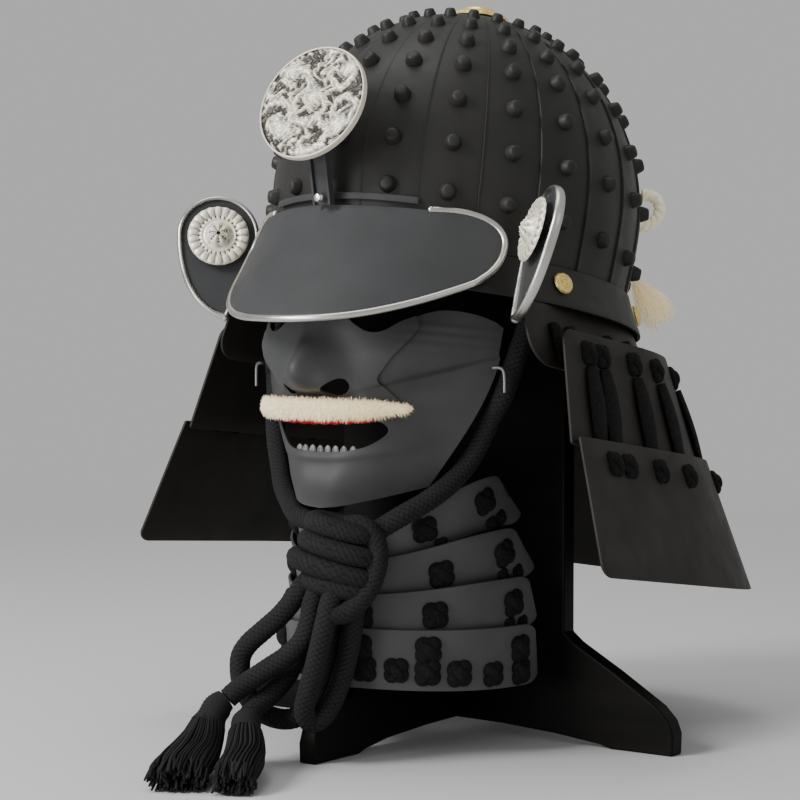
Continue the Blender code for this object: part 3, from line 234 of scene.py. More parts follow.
TASSELS = {
    # centre of each section, half width and half height
    "tassel_1": (
        ((-0.0320, -0.1918, 0.0400), 0.0070, 0.0070), ((-0.0335, -0.1950, 0.0375), 0.0088, 0.0088),
        ((-0.0345, -0.1990, 0.0335), 0.0088, 0.0088), ((-0.0348, -0.2040, 0.0265), 0.0108, 0.0105),
        ((-0.0322, -0.2130, 0.0180), 0.0132, 0.0125), ((-0.0266, -0.2270, 0.0130), 0.0163, 0.0120),
        ((-0.0190, -0.2420, 0.0118), 0.0178, 0.0110), ((-0.0115, -0.2560, 0.0105), 0.0180, 0.0098),
    ),
    "tassel_2": (
        ((-0.0185, -0.1866, 0.0310), 0.0070, 0.0070), ((-0.0172, -0.1895, 0.0290), 0.0088, 0.0088),
        ((-0.0150, -0.1935, 0.0265), 0.0088, 0.0088), ((-0.0110, -0.1985, 0.0225), 0.0105, 0.0105),
        ((-0.0040, -0.2070, 0.0160), 0.0122, 0.0120), ((0.0050, -0.2190, 0.0128), 0.0130, 0.0118),
        ((0.0137, -0.2330, 0.0118), 0.0134, 0.0110), ((0.0208, -0.2455, 0.0105), 0.0132, 0.0096),
    ),
}

RING_ANGLE = math.radians(135.0)
RING_HEIGHT = 0.084
RING_RADIUS = 0.0105
RING_CORD_RADIUS = 0.0040
FRINGE_ANGLE = math.radians(141.0)
FRINGE_SECTIONS = (
    # height, distance from the bowl, radius
    (0.0400, 0.0078, 0.0030), (0.0365, 0.0125, 0.0055), (0.0315, 0.0180, 0.0072),
    (0.0250, 0.0230, 0.0072), (0.0175, 0.0260, 0.0050),
)

BOARD = 0.0120
PLANK_HALF = 0.0865
PLANK_HALF_TOP = 0.0850
PLANK_SPRING = 0.335
PLANK_TOP = 0.4480
FOOT_PROFILE = (
    (0.0000, 0.0085), (0.0400, 0.0078), (0.0800, 0.0055), (0.1130, 0.0020), (0.1205, 0.0000),
    (0.1635, 0.0000), (0.1640, 0.0130), (0.1610, 0.0210), (0.1530, 0.0290), (0.1230, 0.0470),
    (0.0940, 0.0630), (0.0865, 0.0690),
)
CROSS_PROFILE = (
    (0.0066, 0.0085), (0.0400, 0.0078), (0.0800, 0.0055), (0.1030, 0.0020), (0.1100, 0.0000),
    (0.1530, 0.0000), (0.1535, 0.0120), (0.1505, 0.0200), (0.1430, 0.0265), (0.1180, 0.0375),
    (0.0900, 0.0520), (0.0600, 0.0640), (0.0066, 0.0720),
)


# ---------------------------------------------------------------- materials

TEXTURE_SPAN = (0.3, 0.7)   # the part of a noise texture's range that is used
LACQUERS = {
    # material's name, dark colour, light colour, roughness, specular
    "iron": ("dark_iron", (0.017, 0.0165, 0.0155), (0.023, 0.0225, 0.021), 0.50, 0.30),
    "neck": ("neck_iron", (0.0170, 0.0150, 0.0130), (0.0235, 0.0205, 0.0180), 0.56, 0.22),
    "visor": ("visor_iron", (0.030, 0.031, 0.032), (0.038, 0.039, 0.041), 0.60, 0.40),
    "grey": ("grey_iron", (0.036, 0.036, 0.037), (0.047, 0.048, 0.050), 0.56, 0.42),
    "throat": ("throat_iron", (0.054, 0.054, 0.055), (0.067, 0.068, 0.070), 0.58, 0.42),
}


def add_node(tree, kind, values=None):
    """A shader node with values set on its inputs."""
    node = tree.nodes.new(kind)
    for socket, value in (values or {}).items():
        node.inputs[socket].default_value = value
    return node


def shader_input(made, socket):
    return made.node_tree.nodes["Principled BSDF"].inputs[socket]


def new_material(name, colour, roughness, metallic=0.0, specular=0.5):
    made = bpy.data.materials.new(name)
    made.use_nodes = True
    shader_input(made, "Base Color").default_value = (*colour, 1.0)
    shader_input(made, "Roughness").default_value = roughness
    shader_input(made, "Metallic").default_value = metallic
    shader_input(made, "Specular IOR Level").default_value = specular
    return made


def noise(made, scale, detail=4.0, stretch=(1.0, 1.0, 1.0)):
    """A noise texture's factor in the object's own coordinates."""
    tree = made.node_tree
    place = add_node(tree, "ShaderNodeTexCoord")
    mapping = add_node(tree, "ShaderNodeMapping", {"Scale": stretch})
    texture = add_node(tree, "ShaderNodeTexNoise", {"Scale": scale, "Detail": detail})
    tree.links.new(place.outputs["Object"], mapping.inputs["Vector"])
    tree.links.new(mapping.outputs["Vector"], texture.inputs["Vector"])
    return texture.outputs["Fac"]


def vary(made, factor, socket, low, high):
    """Run a shader socket between two values by a texture's factor."""
    start, end = TEXTURE_SPAN
    spread = add_node(made.node_tree, "ShaderNodeMapRange", {
        "From Min": start, "From Max": end, "To Min": low, "To Max": high,
    })
    made.node_tree.links.new(factor, spread.inputs["Value"])
    made.node_tree.links.new(spread.outputs["Result"], shader_input(made, socket))


def tint(made, factor, low, high, span=TEXTURE_SPAN):
    """Run the base colour between two colours by a factor."""
    colours = add_node(made.node_tree, "ShaderNodeValToRGB")
    for i, colour in enumerate((low, high)):
        colours.color_ramp.elements[i].position = span[i]
        colours.color_ramp.elements[i].color = (*colour, 1.0)
    made.node_tree.links.new(factor, colours.inputs["Fac"])
    made.node_tree.links.new(colours.outputs["Color"], shader_input(made, "Base Color"))


def bumpy(made, factor, distance):
    """Raise the surface's small relief by a texture's factor."""
    relief = add_node(made.node_tree, "ShaderNodeBump", {"Distance": distance, "Strength": 1.0})
    made.node_tree.links.new(factor, relief.inputs["Height"])
    made.node_tree.links.new(relief.outputs["Normal"], shader_input(made, "Normal"))


def painted_attribute(made):
    """The factor that a mesh's own "hollow" attribute carries."""
    node = add_node(made.node_tree, "ShaderNodeAttribute")
    node.attribute_name = "hollow"
    return node.outputs["Fac"]


def make_lacquer(name, dark, light, roughness, specular):
    made = new_material(name, light, roughness, 0.0, specular)
    tint(made, noise(made, 26.0, 5.0), dark, light)
    vary(made, noise(made, 60.0, 3.0), "Roughness", roughness - 0.05, roughness + 0.07)
    bumpy(made, noise(made, 900.0, 2.0), 0.00004)
    return made


def make_metals():
    metals = {finish: make_lacquer(*look) for finish, look in LACQUERS.items()}

    metals["silver"] = silver = new_material("silver", (0.60, 0.58, 0.55), 0.30, 1.0)
    vary(silver, noise(silver, 90.0), "Roughness", 0.22, 0.40)
    metals["steel"] = new_material("dark_steel", (0.24, 0.24, 0.24), 0.42, 1.0)

    metals["old"] = old = new_material("old_silver", (0.80, 0.76, 0.64), 0.40, 0.35)
    tint(old, painted_attribute(old), (0.98, 0.93, 0.77), (0.030, 0.026, 0.020), (0.08, 0.85))
    vary(old, noise(old, 400.0), "Roughness", 0.30, 0.52)

    metals["gold"] = gold = new_material("gold", (0.98, 0.72, 0.24), 0.30, 0.60)
    vary(gold, noise(gold, 200.0), "Roughness", 0.22, 0.40)
    return metals


def make_other_finishes():
    cord = new_material("dark_cord", (0.016, 0.016, 0.016), 0.92, 0.0, 0.20)
    # Painted shade: the cord's colour darkens towards the braid's hollows and on the knot's core between
    # its wraps; the tassels' strands take a random tone through the same attribute.
    tint(cord, painted_attribute(cord), (0.021, 0.021, 0.021), (0.003, 0.003, 0.003), (0.0, 1.0))
    bumpy(cord, noise(cord, 1600.0, 3.0), 0.0003)

    lace = new_material("lace", (0.008, 0.008, 0.008), 0.9, 0.0, 0.15)
    tint(lace, noise(lace, 500.0, 4.0), (0.004, 0.004, 0.004), (0.013, 0.0125, 0.012))
    bumpy(lace, noise(lace, 1100.0, 3.0), 0.0005)

    hair = new_material("cream_hair", (0.95, 0.88, 0.70), 0.80, 0.0, 0.25)
    tint(hair, noise(hair, 320.0, 3.0), (0.98, 0.85, 0.57), (1.0, 0.96, 0.78))
    # Painted light: a weak cream glow lifts the moustache, ring and fringe against the shade between the
    # hairs.
    shader_input(hair, "Emission Color").default_value = (0.92, 0.80, 0.54, 1.0)
    shader_input(hair, "Emission Strength").default_value = 0.16

    felt = new_material("red_felt", (0.34, 0.010, 0.010), 0.95, 0.0, 0.15)
    bumpy(felt, noise(felt, 1200.0), 0.0003)

    teeth = new_material("teeth", (0.38, 0.37, 0.35), 0.40)
    tint(teeth, noise(teeth, 260.0, 4.0), (0.05, 0.05, 0.05), (0.26, 0.25, 0.24))

    wood = new_material("black_wood", (0.005, 0.005, 0.005), 0.40, 0.0, 0.07)
    grain = noise(wood, 9.0, 3.0, (1.0, 1.0, 9.0))
    tint(wood, grain, (0.0035, 0.0032, 0.0030), (0.0070, 0.0062, 0.0056))
    return {"cord": cord, "lace": lace, "hair": hair, "felt": felt, "teeth": teeth, "wood": wood}


MATERIALS = {**make_metals(), **make_other_finishes()}


# ---------------------------------------------------------------- meshes

def smooth(thing, degrees):
    thing.data.shade_smooth()
    thing.data.set_sharp_from_angle(angle=math.radians(degrees))


def add_piece(name, mesh, finish, replaces=(), angle=40.0):
    """A visible piece that rides on the one body and takes its finish's slot."""
    thing = bpy.data.objects.new(name, mesh)
    bpy.context.scene.collection.objects.link(thing)
    mesh.materials.clear()
    mesh.materials.append(MATERIALS[finish])
    if angle:
        smooth(thing, angle)
    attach(thing, "root")
    if replaces:
        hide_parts(*replaces)
    return thing


def mesh_of(name, shape, matrix=MODEL, hollow=None):
    """A mesh of a shape, which is its points and its faces, moved by matrix."""
    points, faces = shape
    mesh = bpy.data.meshes.new(name)
    mesh.from_pydata([matrix @ Vector(point) for point in points], [], faces)
    if hollow:
        attribute = mesh.attributes.new("hollow", "FLOAT", "POINT")
        attribute.data.foreach_set("value", hollow)
    mesh.validate()
    mesh.update()
    return mesh


def joined(shapes):
    points, faces = [], []
    for more_points, more_faces in shapes:
        first = len(points)
        points += more_points
        faces += [tuple(first + i for i in face) for face in more_faces]
    return points, faces


def moved(shape, matrix):
    points, faces = shape
    return [matrix @ Vector(point) for point in points], faces


def lattice(rows, columns, closed_rows=False, closed_columns=False):
    """Faces of a grid of points stored row by row."""
    faces = []
    for row in range(rows if closed_rows else rows - 1):
        for column in range(columns if closed_columns else columns - 1):
            after_row, after = (row + 1) % rows, (column + 1) % columns
            faces.append((
                row * columns + column, row * columns + after,
                after_row * columns + after, after_row * columns + column,
            ))
    return faces


def sheet(columns, rows, place, closed=False):
    """An open grid through place(u, v), both from 0 to 1."""
    across = columns if closed else columns + 1
    points = [place(i / columns, j / rows) for j in range(rows + 1) for i in range(across)]
    return points, lattice(rows + 1, across, False, closed)


def turned(profile, steps, wave=None):
    """A profile of (radius, height) turned about Z; wave(turn, radius) scales a point's radius."""
    points = []
    for radius, height in profile:
        for step in range(steps):
            turn = math.tau * step / steps
            size = radius * (wave(turn, radius) if wave else 1.0)
            points.append(Vector((size * math.cos(turn), size * math.sin(turn), height)))
    return points, lattice(len(profile), steps, False, True)


def smooth_route(points, spacing):
    """Points about spacing apart on the Catmull-Rom curve through the given ones."""
    stops = [Vector(point) for point in points]
    stops = [2.0 * stops[0] - stops[1], *stops, 2.0 * stops[-1] - stops[-2]]
    route = []
    for i in range(1, len(stops) - 2):
        before, start, end, after = stops[i - 1:i + 3]
        steps = max(1, round((end - start).length / spacing))
        for step in range(steps):
            t = step / steps
            route.append(0.5 * (
                2.0 * start + (end - before) * t
                + (2.0 * before - 5.0 * start + 4.0 * end - after) * t * t
                + (3.0 * start - before - 3.0 * end + after) * t * t * t
            ))
    route.append(stops[-2])
    return route


def route_length(route):
    return sum((b - a).length for a, b in zip(route, route[1:]))


def frames_along(route, closed=False):
    """An across and an up direction at each point of a route, turned as little as may be."""
    count = len(route)
    frames = []
    across = None
    for i in range(count):
        before = route[(i - 1) % count] if closed else route[max(i - 1, 0)]
        after = route[(i + 1) % count] if closed else route[min(i + 1, count - 1)]
        along = (after - before).normalized()
        if across is None:
            helper = Vector((0.0, 0.0, 1.0)) if abs(along.z) < 0.9 else Vector((1.0, 0.0, 0.0))
            across = along.cross(helper).normalized()
        across = (across - along * across.dot(along)).normalized()
        frames.append((across, along.cross(across)))
    return frames


def swept(route, sides, radius, closed=False, flat=1.0):
    """A tube along a route; radius is a number or radius(turn, distance)."""
    points, distance = [], 0.0
    for i, (centre, (across, up)) in enumerate(zip(route, frames_along(route, closed))):
        distance += (centre - route[i - 1]).length if i else 0.0
        for side in range(sides):
            turn = math.tau * side / sides
            size = radius(turn, distance) if callable(radius) else radius
            points.append(centre + (across * math.cos(turn) + up * math.sin(turn) * flat) * size)
    faces = lattice(len(route), sides, closed, True)
    if not closed:
        faces.append(tuple(reversed(range(sides))))
        faces.append(tuple(range(len(points) - sides, len(points))))
    return points, faces


SHEET_EDGE = 0.0003         # the small round on a sheet's edges


def thick(thing, wall, offset=0.0, edge=SHEET_EDGE):
    """Give a sheet its wall and a small round on its edges."""
    wall_modifier = thing.modifiers.new("wall", "SOLIDIFY")
    wall_modifier.thickness = wall
    wall_modifier.offset = offset
    if edge:
        rounded(thing, edge)


def rounded(thing, width, segments=2):
    bevel = thing.modifiers.new("edge", "BEVEL")
    bevel.width = width
    bevel.segments = segments
    bevel.limit_method = "ANGLE"
    bevel.angle_limit = math.radians(50.0)


def sheet_piece(name, columns, rows, place, wall, finish, replaces, offset=0.0, matrix=MODEL,
                closed=False, edge=SHEET_EDGE):
    """A piece made of a grid with a wall."""
    mesh = mesh_of(name, sheet(columns, rows, place, closed), matrix)
    thing = add_piece(name, mesh, finish, replaces)
    thick(thing, wall, offset, edge)
    return thing


def board_shape(outline, thickness):
    """A prism of an outline of (x, y), centred on the XY plane."""
    count = len(outline)
    points = [Vector((x, y, side * thickness / 2.0)) for side in (-1.0, 1.0) for x, y in outline]
    faces = [tuple(reversed(range(count))), tuple(range(count, 2 * count))]
    faces += [(i, (i + 1) % count, count + (i + 1) % count, count + i) for i in range(count)]
    return points, faces


def ball(radii, columns=16, rows=10):
    """An ellipsoid of three radii."""
    profile = [
        (math.sin(math.pi * row / rows), math.cos(math.pi * row / rows)) for row in range(rows + 1)
    ]
    points, faces = turned(profile, columns)
    return [Vector((p.x * radii[0], p.y * radii[1], p.z * radii[2])) for p in points], faces


def cut(thing, cutter_shapes):
    """Cut shapes out of a piece, with its modifiers applied first."""
    mesh = mesh_of("cutter", joined(cutter_shapes), Matrix())
    bm = bmesh.new()
    bm.from_mesh(mesh)
    bmesh.ops.recalc_face_normals(bm, faces=bm.faces)
    bm.to_mesh(mesh)
    bm.free()
    cutter = bpy.data.objects.new("cutter", mesh)
    bpy.context.scene.collection.objects.link(cutter)
    modifier = thing.modifiers.new("cut", "BOOLEAN")
    modifier.operation = "DIFFERENCE"
    modifier.object = cutter
    bpy.context.view_layer.update()
    graph = bpy.context.evaluated_depsgraph_get()
    result = bpy.data.meshes.new_from_object(thing.evaluated_get(graph))
    thing.modifiers.clear()
    thing.data = result
    bpy.data.objects.remove(cutter, do_unlink=True)
    smooth(thing, 40.0)


def table_value(rows, key, column):
    """A column of a table read between its rows, smoothly; the first column is the key."""
    key = min(max(key, rows[0][0]), rows[-1][0])
    i = next(n for n in range(len(rows) - 1) if key <= rows[n + 1][0])
    low, high = rows[i], rows[i + 1]
    before, after = rows[max(i - 1, 0)], rows[min(i + 2, len(rows) - 1)]
    span = high[0] - low[0]
    t = (key - low[0]) / span
    slope_low = (high[column] - before[column]) / (high[0] - before[0])
    slope_high = (after[column] - low[column]) / (after[0] - low[0])
    return (
        (2 * t ** 3 - 3 * t ** 2 + 1) * low[column]
        + (t ** 3 - 2 * t ** 2 + t) * span * slope_low
        + (3 * t ** 2 - 2 * t ** 3) * high[column]
        + (t ** 3 - t ** 2) * span * slope_high
    )


# ---------------------------------------------------------------- camera and cords

CAMERA_LENS = 108.9
CAMERA_SENSOR = 36.0
CAMERA_PLACE = (0.889, -1.270, 0.275)
CAMERA_TILT = math.radians(87.634)
CAMERA_TURN = math.radians(36.348)


def make_camera():
    data = bpy.data.cameras.new("camera")
    data.lens = CAMERA_LENS
    data.sensor_width = CAMERA_SENSOR
    data.clip_start = 0.05
    camera = bpy.data.objects.new("camera", data)
    x, y, z = CAMERA_PLACE
    camera.location = (x, y + ORIGIN_Y, z)
    camera.rotation_euler = Euler((CAMERA_TILT, 0.0, CAMERA_TURN))
    bpy.context.scene.collection.objects.link(camera)
    bpy.context.scene.camera = camera


ROPE_LOOK = 0.0064          # radius over the braid
ROPE_SIDES = 36
BRAID_STRANDS = 8           # each way round
BRAID_LAY = 0.0032          # along the rope, a strand's width
BRAID_DEPTH = 0.11          # of the radius


def braid(turn, distance):
    """Height of a round braid's surface, from 0 in a crossing's hollow to 1 on a strand."""
    one = BRAID_STRANDS * turn / math.tau + distance / BRAID_LAY
    other = BRAID_STRANDS * turn / math.tau - distance / BRAID_LAY
    over = (math.floor(one) + math.floor(other)) % 2 == 0
    main, cross = (one, other) if over else (other, one)
    strand = abs(math.sin(math.pi * (main % 1.0))) ** 0.7
    return strand * (0.55 + 0.45 * abs(math.sin(math.pi * (cross % 1.0))))


def rope_shape(route, closed=False):
    """A braided rope along a route, with how deep each point lies in the braid, which darkens the cord's
    colour in the braid's hollows as painted shade.
    """
    def surface(turn, distance):
        return ROPE_LOOK * (1.0 - BRAID_DEPTH + BRAID_DEPTH * braid(turn, distance))

    points, faces = swept(route, ROPE_SIDES, surface, closed)
    hollow, distance = [], 0.0
    for i, centre in enumerate(route):
        distance += (centre - route[i - 1]).length if i else 0.0
        hollow += [
            1.0 - braid(math.tau * side / ROPE_SIDES, distance) for side in range(ROPE_SIDES)
        ]
    return (points, faces), hollow


KNOT_TURN = math.radians(20.0)
KNOT_CORE = (0.0165, 0.0100, 0.0215)
KNOT_WRAP_STEPS = 72
KNOT_WRAPS = (
    # height, half width, half depth, drop towards the left, shift to the left
    (0.0170, 0.0160, 0.0098, 0.0040, 0.0000), (0.0050, 0.0192, 0.0120, 0.0050, -0.0012),
    (-0.0065, 0.0225, 0.0128, 0.0060, -0.0048), (-0.0170, 0.0165, 0.0102, 0.0030, -0.0015),
)
KNOT_BEND = (
    (0.0230, -0.1480, 0.1430), (0.0340, -0.1430, 0.1420), (0.0405, -0.1400, 0.1320),
    (0.0415, -0.1415, 0.1180), (0.0375, -0.1460, 0.1040), (0.0300, -0.1530, 0.0935),
    (0.0215, -0.1600, 0.0905),
)


def knot_wraps():
    """Routes of the turns of rope round the knot and of the bend beside it, and if each is closed."""
    wraps = []
    for height, wide, deep, drop, shift in KNOT_WRAPS:
        ring = []
        for step in range(KNOT_WRAP_STEPS):
            turn = math.tau * step / KNOT_WRAP_STEPS
            offset = Vector((
                wide * math.cos(turn) + shift, deep * math.sin(turn), height - drop * math.cos(turn)
            ))
            ring.append(KNOT_CENTRE + Matrix.Rotation(KNOT_TURN, 3, "Z") @ offset)
        wraps.append((ring, True))
    return [*wraps, (smooth_route(KNOT_BEND, 0.0012), False)]


def make_knot():
    shapes, hollows = [], []
    core, core_faces = ball(KNOT_CORE, 24, 16)
    turn = Matrix.Translation(KNOT_CENTRE) @ Matrix.Rotation(KNOT_TURN, 4, "Z")
    shapes.append(([turn @ point for point in core], core_faces))
    # The core, seen between the wraps, is set darker than the braid's middle: painted shade.
    hollows += [0.6] * len(core)
    for route, closed in knot_wraps():
        shape, hollow = rope_shape(route, closed=closed)
        shapes.append(shape)
        hollows += hollow
    return add_piece("cord_knot", mesh_of("cord_knot", joined(shapes), hollow=hollows), "cord",
                     ("rope_knot",), 80.0)


TASSEL_STRANDS = 430
TASSEL_CAP_SECTIONS = 3     # the bound cap runs through this many steps of a tassel's sections
STRAND_RADIUS = 0.00075
STRAND_LOWEST = 0.0012      # of a strand's middle over the floor


def tassel_frames(sections):
    centres = [Vector(centre) for centre, _, _ in sections]
    frames = []
    for i in range(len(centres)):
        along = (centres[min(i + 1, len(centres) - 1)] - centres[max(i - 1, 0)]).normalized()
        across = along.cross(Vector((0.0, 0.0, 1.0))).normalized()
        frames.append((centres[i], across, across.cross(along)))
    return frames


def tassel_cap(sections, frames):
    cap_route = smooth_route([frames[i][0] for i in range(TASSEL_CAP_SECTIONS + 1)], 0.0005)
    cap_sizes = [(i / TASSEL_CAP_SECTIONS, sections[i][1]) for i in range(TASSEL_CAP_SECTIONS + 1)]
    cap_length = route_length(cap_route)

    def cap_radius(turn, distance):
        size = table_value(cap_sizes, distance / cap_length, 1)
        return size * (0.93 + 0.07 * abs(math.sin(math.pi * distance / 0.0017 + turn)))

    return swept(cap_route, 28, cap_radius)


def tassel_strand(sections, frames, rng):
    turn = rng.uniform(0.0, math.tau)
    share = math.sqrt(rng.uniform(0.04, 1.0))
    stops = []
    for i in range(2, len(sections)):
        centre, across, up = frames[i]
        drift = turn + 0.04 * math.sin(1.7 * i + turn * 3.0)
        reach = share * (1.0 if i > 2 else 0.75) * 0.93
        point = centre + across * (sections[i][1] * reach * math.cos(drift))
        point += up * (sections[i][2] * reach * math.sin(drift))
        stops.append(point)
    beyond = stops[-1] + (stops[-1] - stops[-2]) * rng.uniform(-0.35, 0.75)
    stops.append(beyond + Vector((rng.uniform(-0.002, 0.002), 0.0, -0.004)))
    for stop in stops:
        stop.z = max(stop.z, STRAND_LOWEST)
    return swept(smooth_route(stops, 0.006), 5, STRAND_RADIUS)


def make_tassel(name, seed):
    """A bound cap and a skirt of loose strands that lie on the floor."""
    sections = TASSELS[name]
    frames = tassel_frames(sections)
    rng = random.Random(seed)
    shapes = [tassel_cap(sections, frames)]
    hollows = [0.35] * len(shapes[0][0])
    for _ in range(TASSEL_STRANDS):
        strand = tassel_strand(sections, frames, rng)
        shapes.append(strand)
        hollows += [rng.uniform(0.1, 0.8)] * len(strand[0])
    mesh = mesh_of(name, joined(shapes), hollow=hollows)
    return add_piece(f"{name}_strands", mesh, "cord", (name,), 80.0)


def make_cord(name, stops, nodes):
    route = smooth_route(stops, 0.0008)
    shape, hollow = rope_shape(route)
    cord = add_piece(name, mesh_of(name, shape, hollow=hollow), "cord", nodes, 80.0)
    path = [MODEL @ point for point in smooth_route(stops, 0.006)]
    [tuple(point) for point in path]


def make_cords():
    knot = make_knot()
    first = make_tassel("tassel_1", 11)
    second = make_tassel("tassel_2", 23)
    left = (
        *ROPE_SIDE_LEFT, (0.0280, -0.1400, 0.1330), (0.0120, -0.1470, 0.1200), *ROPE_LOOP_SIDE,
        (0.0140, -0.1440, 0.1090), (0.0120, -0.1500, 0.1150), *ROPE_TAIL_1,
    )
    right = (
        *ROPE_SIDE_RIGHT, (0.0120, -0.1430, 0.1320), (0.0220, -0.1510, 0.1150), *ROPE_LOOP_FRONT,
        (0.0250, -0.1450, 0.1120), (0.0130, -0.1430, 0.1170), (0.0020, -0.1420, 0.1080), *ROPE_TAIL_2,
    )
    left_nodes = ("rope_side_left", "rope_loop_side", "rope_tail_1")
    right_nodes = ("rope_side_right", "rope_loop_front", "rope_tail_2")
    make_cord("cord_left", left, left_nodes)
    make_cord("cord_right", right, right_nodes)


# ---------------------------------------------------------------- bowl and brow band

def dome_scale(height):
    """Size of the bowl's horizontal section against its widest one."""
    if height >= BOWL_WAIST:
        return math.sqrt(max(0.0, 1.0 - ((height - BOWL_WAIST) / BOWL_RISE) ** 2))
    drop = (BOWL_WAIST - height) / (BOWL_WAIST - BOWL_FOOT)
    return 1.0 - (1.0 - BOWL_FOOT_SCALE) * drop ** 1.5


def bowl_point(angle, height, out=0.0, scale=None):
    """A point on the bowl; the angle is counted from the front towards the wearer's left."""
    scale = dome_scale(height) if scale is None else scale
    x = (BOWL_HALF_WIDTH * scale + out) * math.sin(angle)
    y = BOWL_CENTRE_Y - (BOWL_HALF_LENGTH * scale + out) * math.cos(angle)
    return Vector((x, y, height))


def bowl_normal(angle, height):
    step = 0.001
    along = bowl_point(angle + step, height) - bowl_point(angle - step, height)
    up = bowl_point(angle, height + step) - bowl_point(angle, height - step)
    return along.cross(up).normalized()


DOME_SKIRT = 0.30           # share of the sheet's rows that lie under the waist


def dome_height(rise):
    if rise < DOME_SKIRT:
        return BOWL_FOOT + (BOWL_WAIST - BOWL_FOOT) * rise / DOME_SKIRT
    angle = math.radians(CROWN_HOLE_ANGLE) * (rise - DOME_SKIRT) / (1.0 - DOME_SKIRT)
    return BOWL_WAIST + BOWL_RISE * math.sin(angle)


PLATE_PROFILE = (
    # share of a plate's width, raise against PLATE_RAISE
    (0.000, 0.00), (0.001, 0.80), (0.008, 1.10), (0.022, 1.10), (0.036, 0.80), (0.070, 0.72),
    (0.200, 0.66), (0.400, 0.60), (0.600, 0.44), (0.800, 0.22), (0.920, 0.08), (0.985, 0.00),
)


def make_bowl():
    columns = PLATE_COUNT * len(PLATE_PROFILE)

    def place(u, v):
        plate, part = divmod(round(u * columns), len(PLATE_PROFILE))
        share, raise_share = PLATE_PROFILE[part]
        angle = math.tau * (plate + share - 0.5) / PLATE_COUNT
        fade = min(1.0, (1.0 - v) * 6.0)
        height = dome_height(v) - (BOWL_TUCK if v == 0.0 else 0.0)
        return bowl_point(angle, height, PLATE_RAISE * raise_share * (0.4 + 0.6 * fade))

    sheet_piece("bowl_plates", columns, 44, place, BOWL_WALL, "iron", ("bowl",), -1.0, HELMET, True)


RIVET_PROFILE = (
    # share of the rivet's radius, height over the bowl
    (1.00, -0.0014), (1.00, 0.0003), (0.94, 0.0019), (0.81, 0.0041), (0.71, 0.0054),
    (0.62, 0.0060), (0.45, 0.0063), (0.0, 0.0064),
)


def make_rivets():
    """Rows of rivets along the plates' laps; the lowest row leaves out the front one."""
    shapes = []
    for height, front_rise, size in RIVET_ROWS:
        lowest = height == RIVET_ROWS[0][0]
        for plate in range(1 if lowest else 0, PLATE_COUNT):
            angle = math.tau * plate / PLATE_COUNT
            level = height + front_rise * math.cos(angle)
            normal = bowl_normal(angle, level)
            turn = normal.to_track_quat("Z", "Y").to_matrix().to_4x4()
            rivet = turned([(r * RIVET_RADIUS * size, z * size) for r, z in RIVET_PROFILE], 20)
            shapes.append(moved(rivet, Matrix.Translation(bowl_point(angle, level)) @ turn))
    add_piece("bowl_rivets", mesh_of("bowl_rivets", joined(shapes), HELMET), "iron", (), 50.0)


def band_scale(height):
    height = max(height, 0.0)
    return BAND_FOOT_SCALE + (BAND_TOP_SCALE - BAND_FOOT_SCALE) * (height / BAND_TOP) ** 0.8


def make_brow_band():
    def place(u, v):
        height = BAND_TOP * v - BAND_SKIRT * (1.0 - v)
        return bowl_point(math.tau * u, height, scale=band_scale(height))

    sheet_piece("brow_band_sheet", 180, 8, place, BAND_WALL, "iron", ("brow_band",), 0.0, HELMET, True)


STUD_LEAN = 0.38            # how far a stud's face leans with the band
STUD_STAND_OFF = 0.0012
STUD_PROFILE = (
    # radius, height
    (0.0, 0.0034), (0.0012, 0.0034), (0.0017, 0.0026), (0.0024, 0.0034), (0.0032, 0.0033),
    (0.0036, 0.0024), (0.0043, 0.0029), (0.0056, 0.0025), (0.0065, 0.0014), (0.0068, 0.0),
    (0.0, 0.0),
)


def make_studs():
    def petals(turn, radius):
        return 1.0 + (0.03 * abs(math.cos(6.0 * turn)) - 0.02 if radius > 0.0045 else 0.0)

    for number, degrees in STUD_ANGLES.items():
        angle = math.radians(degrees)
        step = 0.001
        scale = band_scale(STUD_HEIGHT)
        along = bowl_point(angle + step, STUD_HEIGHT, scale=scale)
        along -= bowl_point(angle - step, STUD_HEIGHT, scale=scale)
        lean = Vector((0.0, 0.0, 1.0)) - bowl_normal(angle, BOWL_WAIST) * STUD_LEAN
        normal = along.cross(lean).normalized()
        centre = bowl_point(angle, STUD_HEIGHT, scale=scale)
        centre += normal * (BAND_WALL / 2.0 + STUD_STAND_OFF)
        turn = normal.to_track_quat("Z", "Y").to_matrix().to_4x4()
        matrix = HELMET @ Matrix.Translation(centre) @ turn
        mesh = mesh_of("stud", turned(STUD_PROFILE, 48, petals), matrix)
        add_piece(f"petal_stud_{number}", mesh, "gold", (f"gold_stud_{number}",), 60.0)


CROWN_PROFILE = (
    # radius, height
    (0.0065, 0.0068), (0.0074, 0.0077), (0.0088, 0.0077), (0.0104, 0.0067), (0.0109, 0.0044),
    (0.0117, 0.0050), (0.0150, 0.0044), (0.0160, 0.0032), (0.0168, 0.0034), (0.0192, 0.0024),
    (0.0198, 0.0004), (0.0130, 0.0004), (0.0065, 0.0006), (0.0065, 0.0068),
)


def make_crown_fitting():
    def petals(turn, radius):
        return 1.0 + (0.05 * abs(math.cos(8.0 * turn)) - 0.03 if radius > 0.012 else 0.0)

    matrix = HELMET @ Matrix.Translation((0.0, BOWL_CENTRE_Y, BOWL_WAIST + BOWL_RISE - 0.0002))
    mesh = mesh_of("crown", turned(CROWN_PROFILE, 96, petals), matrix)
    add_piece("crown_rings", mesh, "gold", ("crown_fitting",), 50.0)


# ---------------------------------------------------------------- visor and crest

def visor_point(x, z):
    return Vector((x, VISOR_TOP_Y - VISOR_SLOPE * (VISOR_TOP_Z - z) + VISOR_BEND * x * x, z))


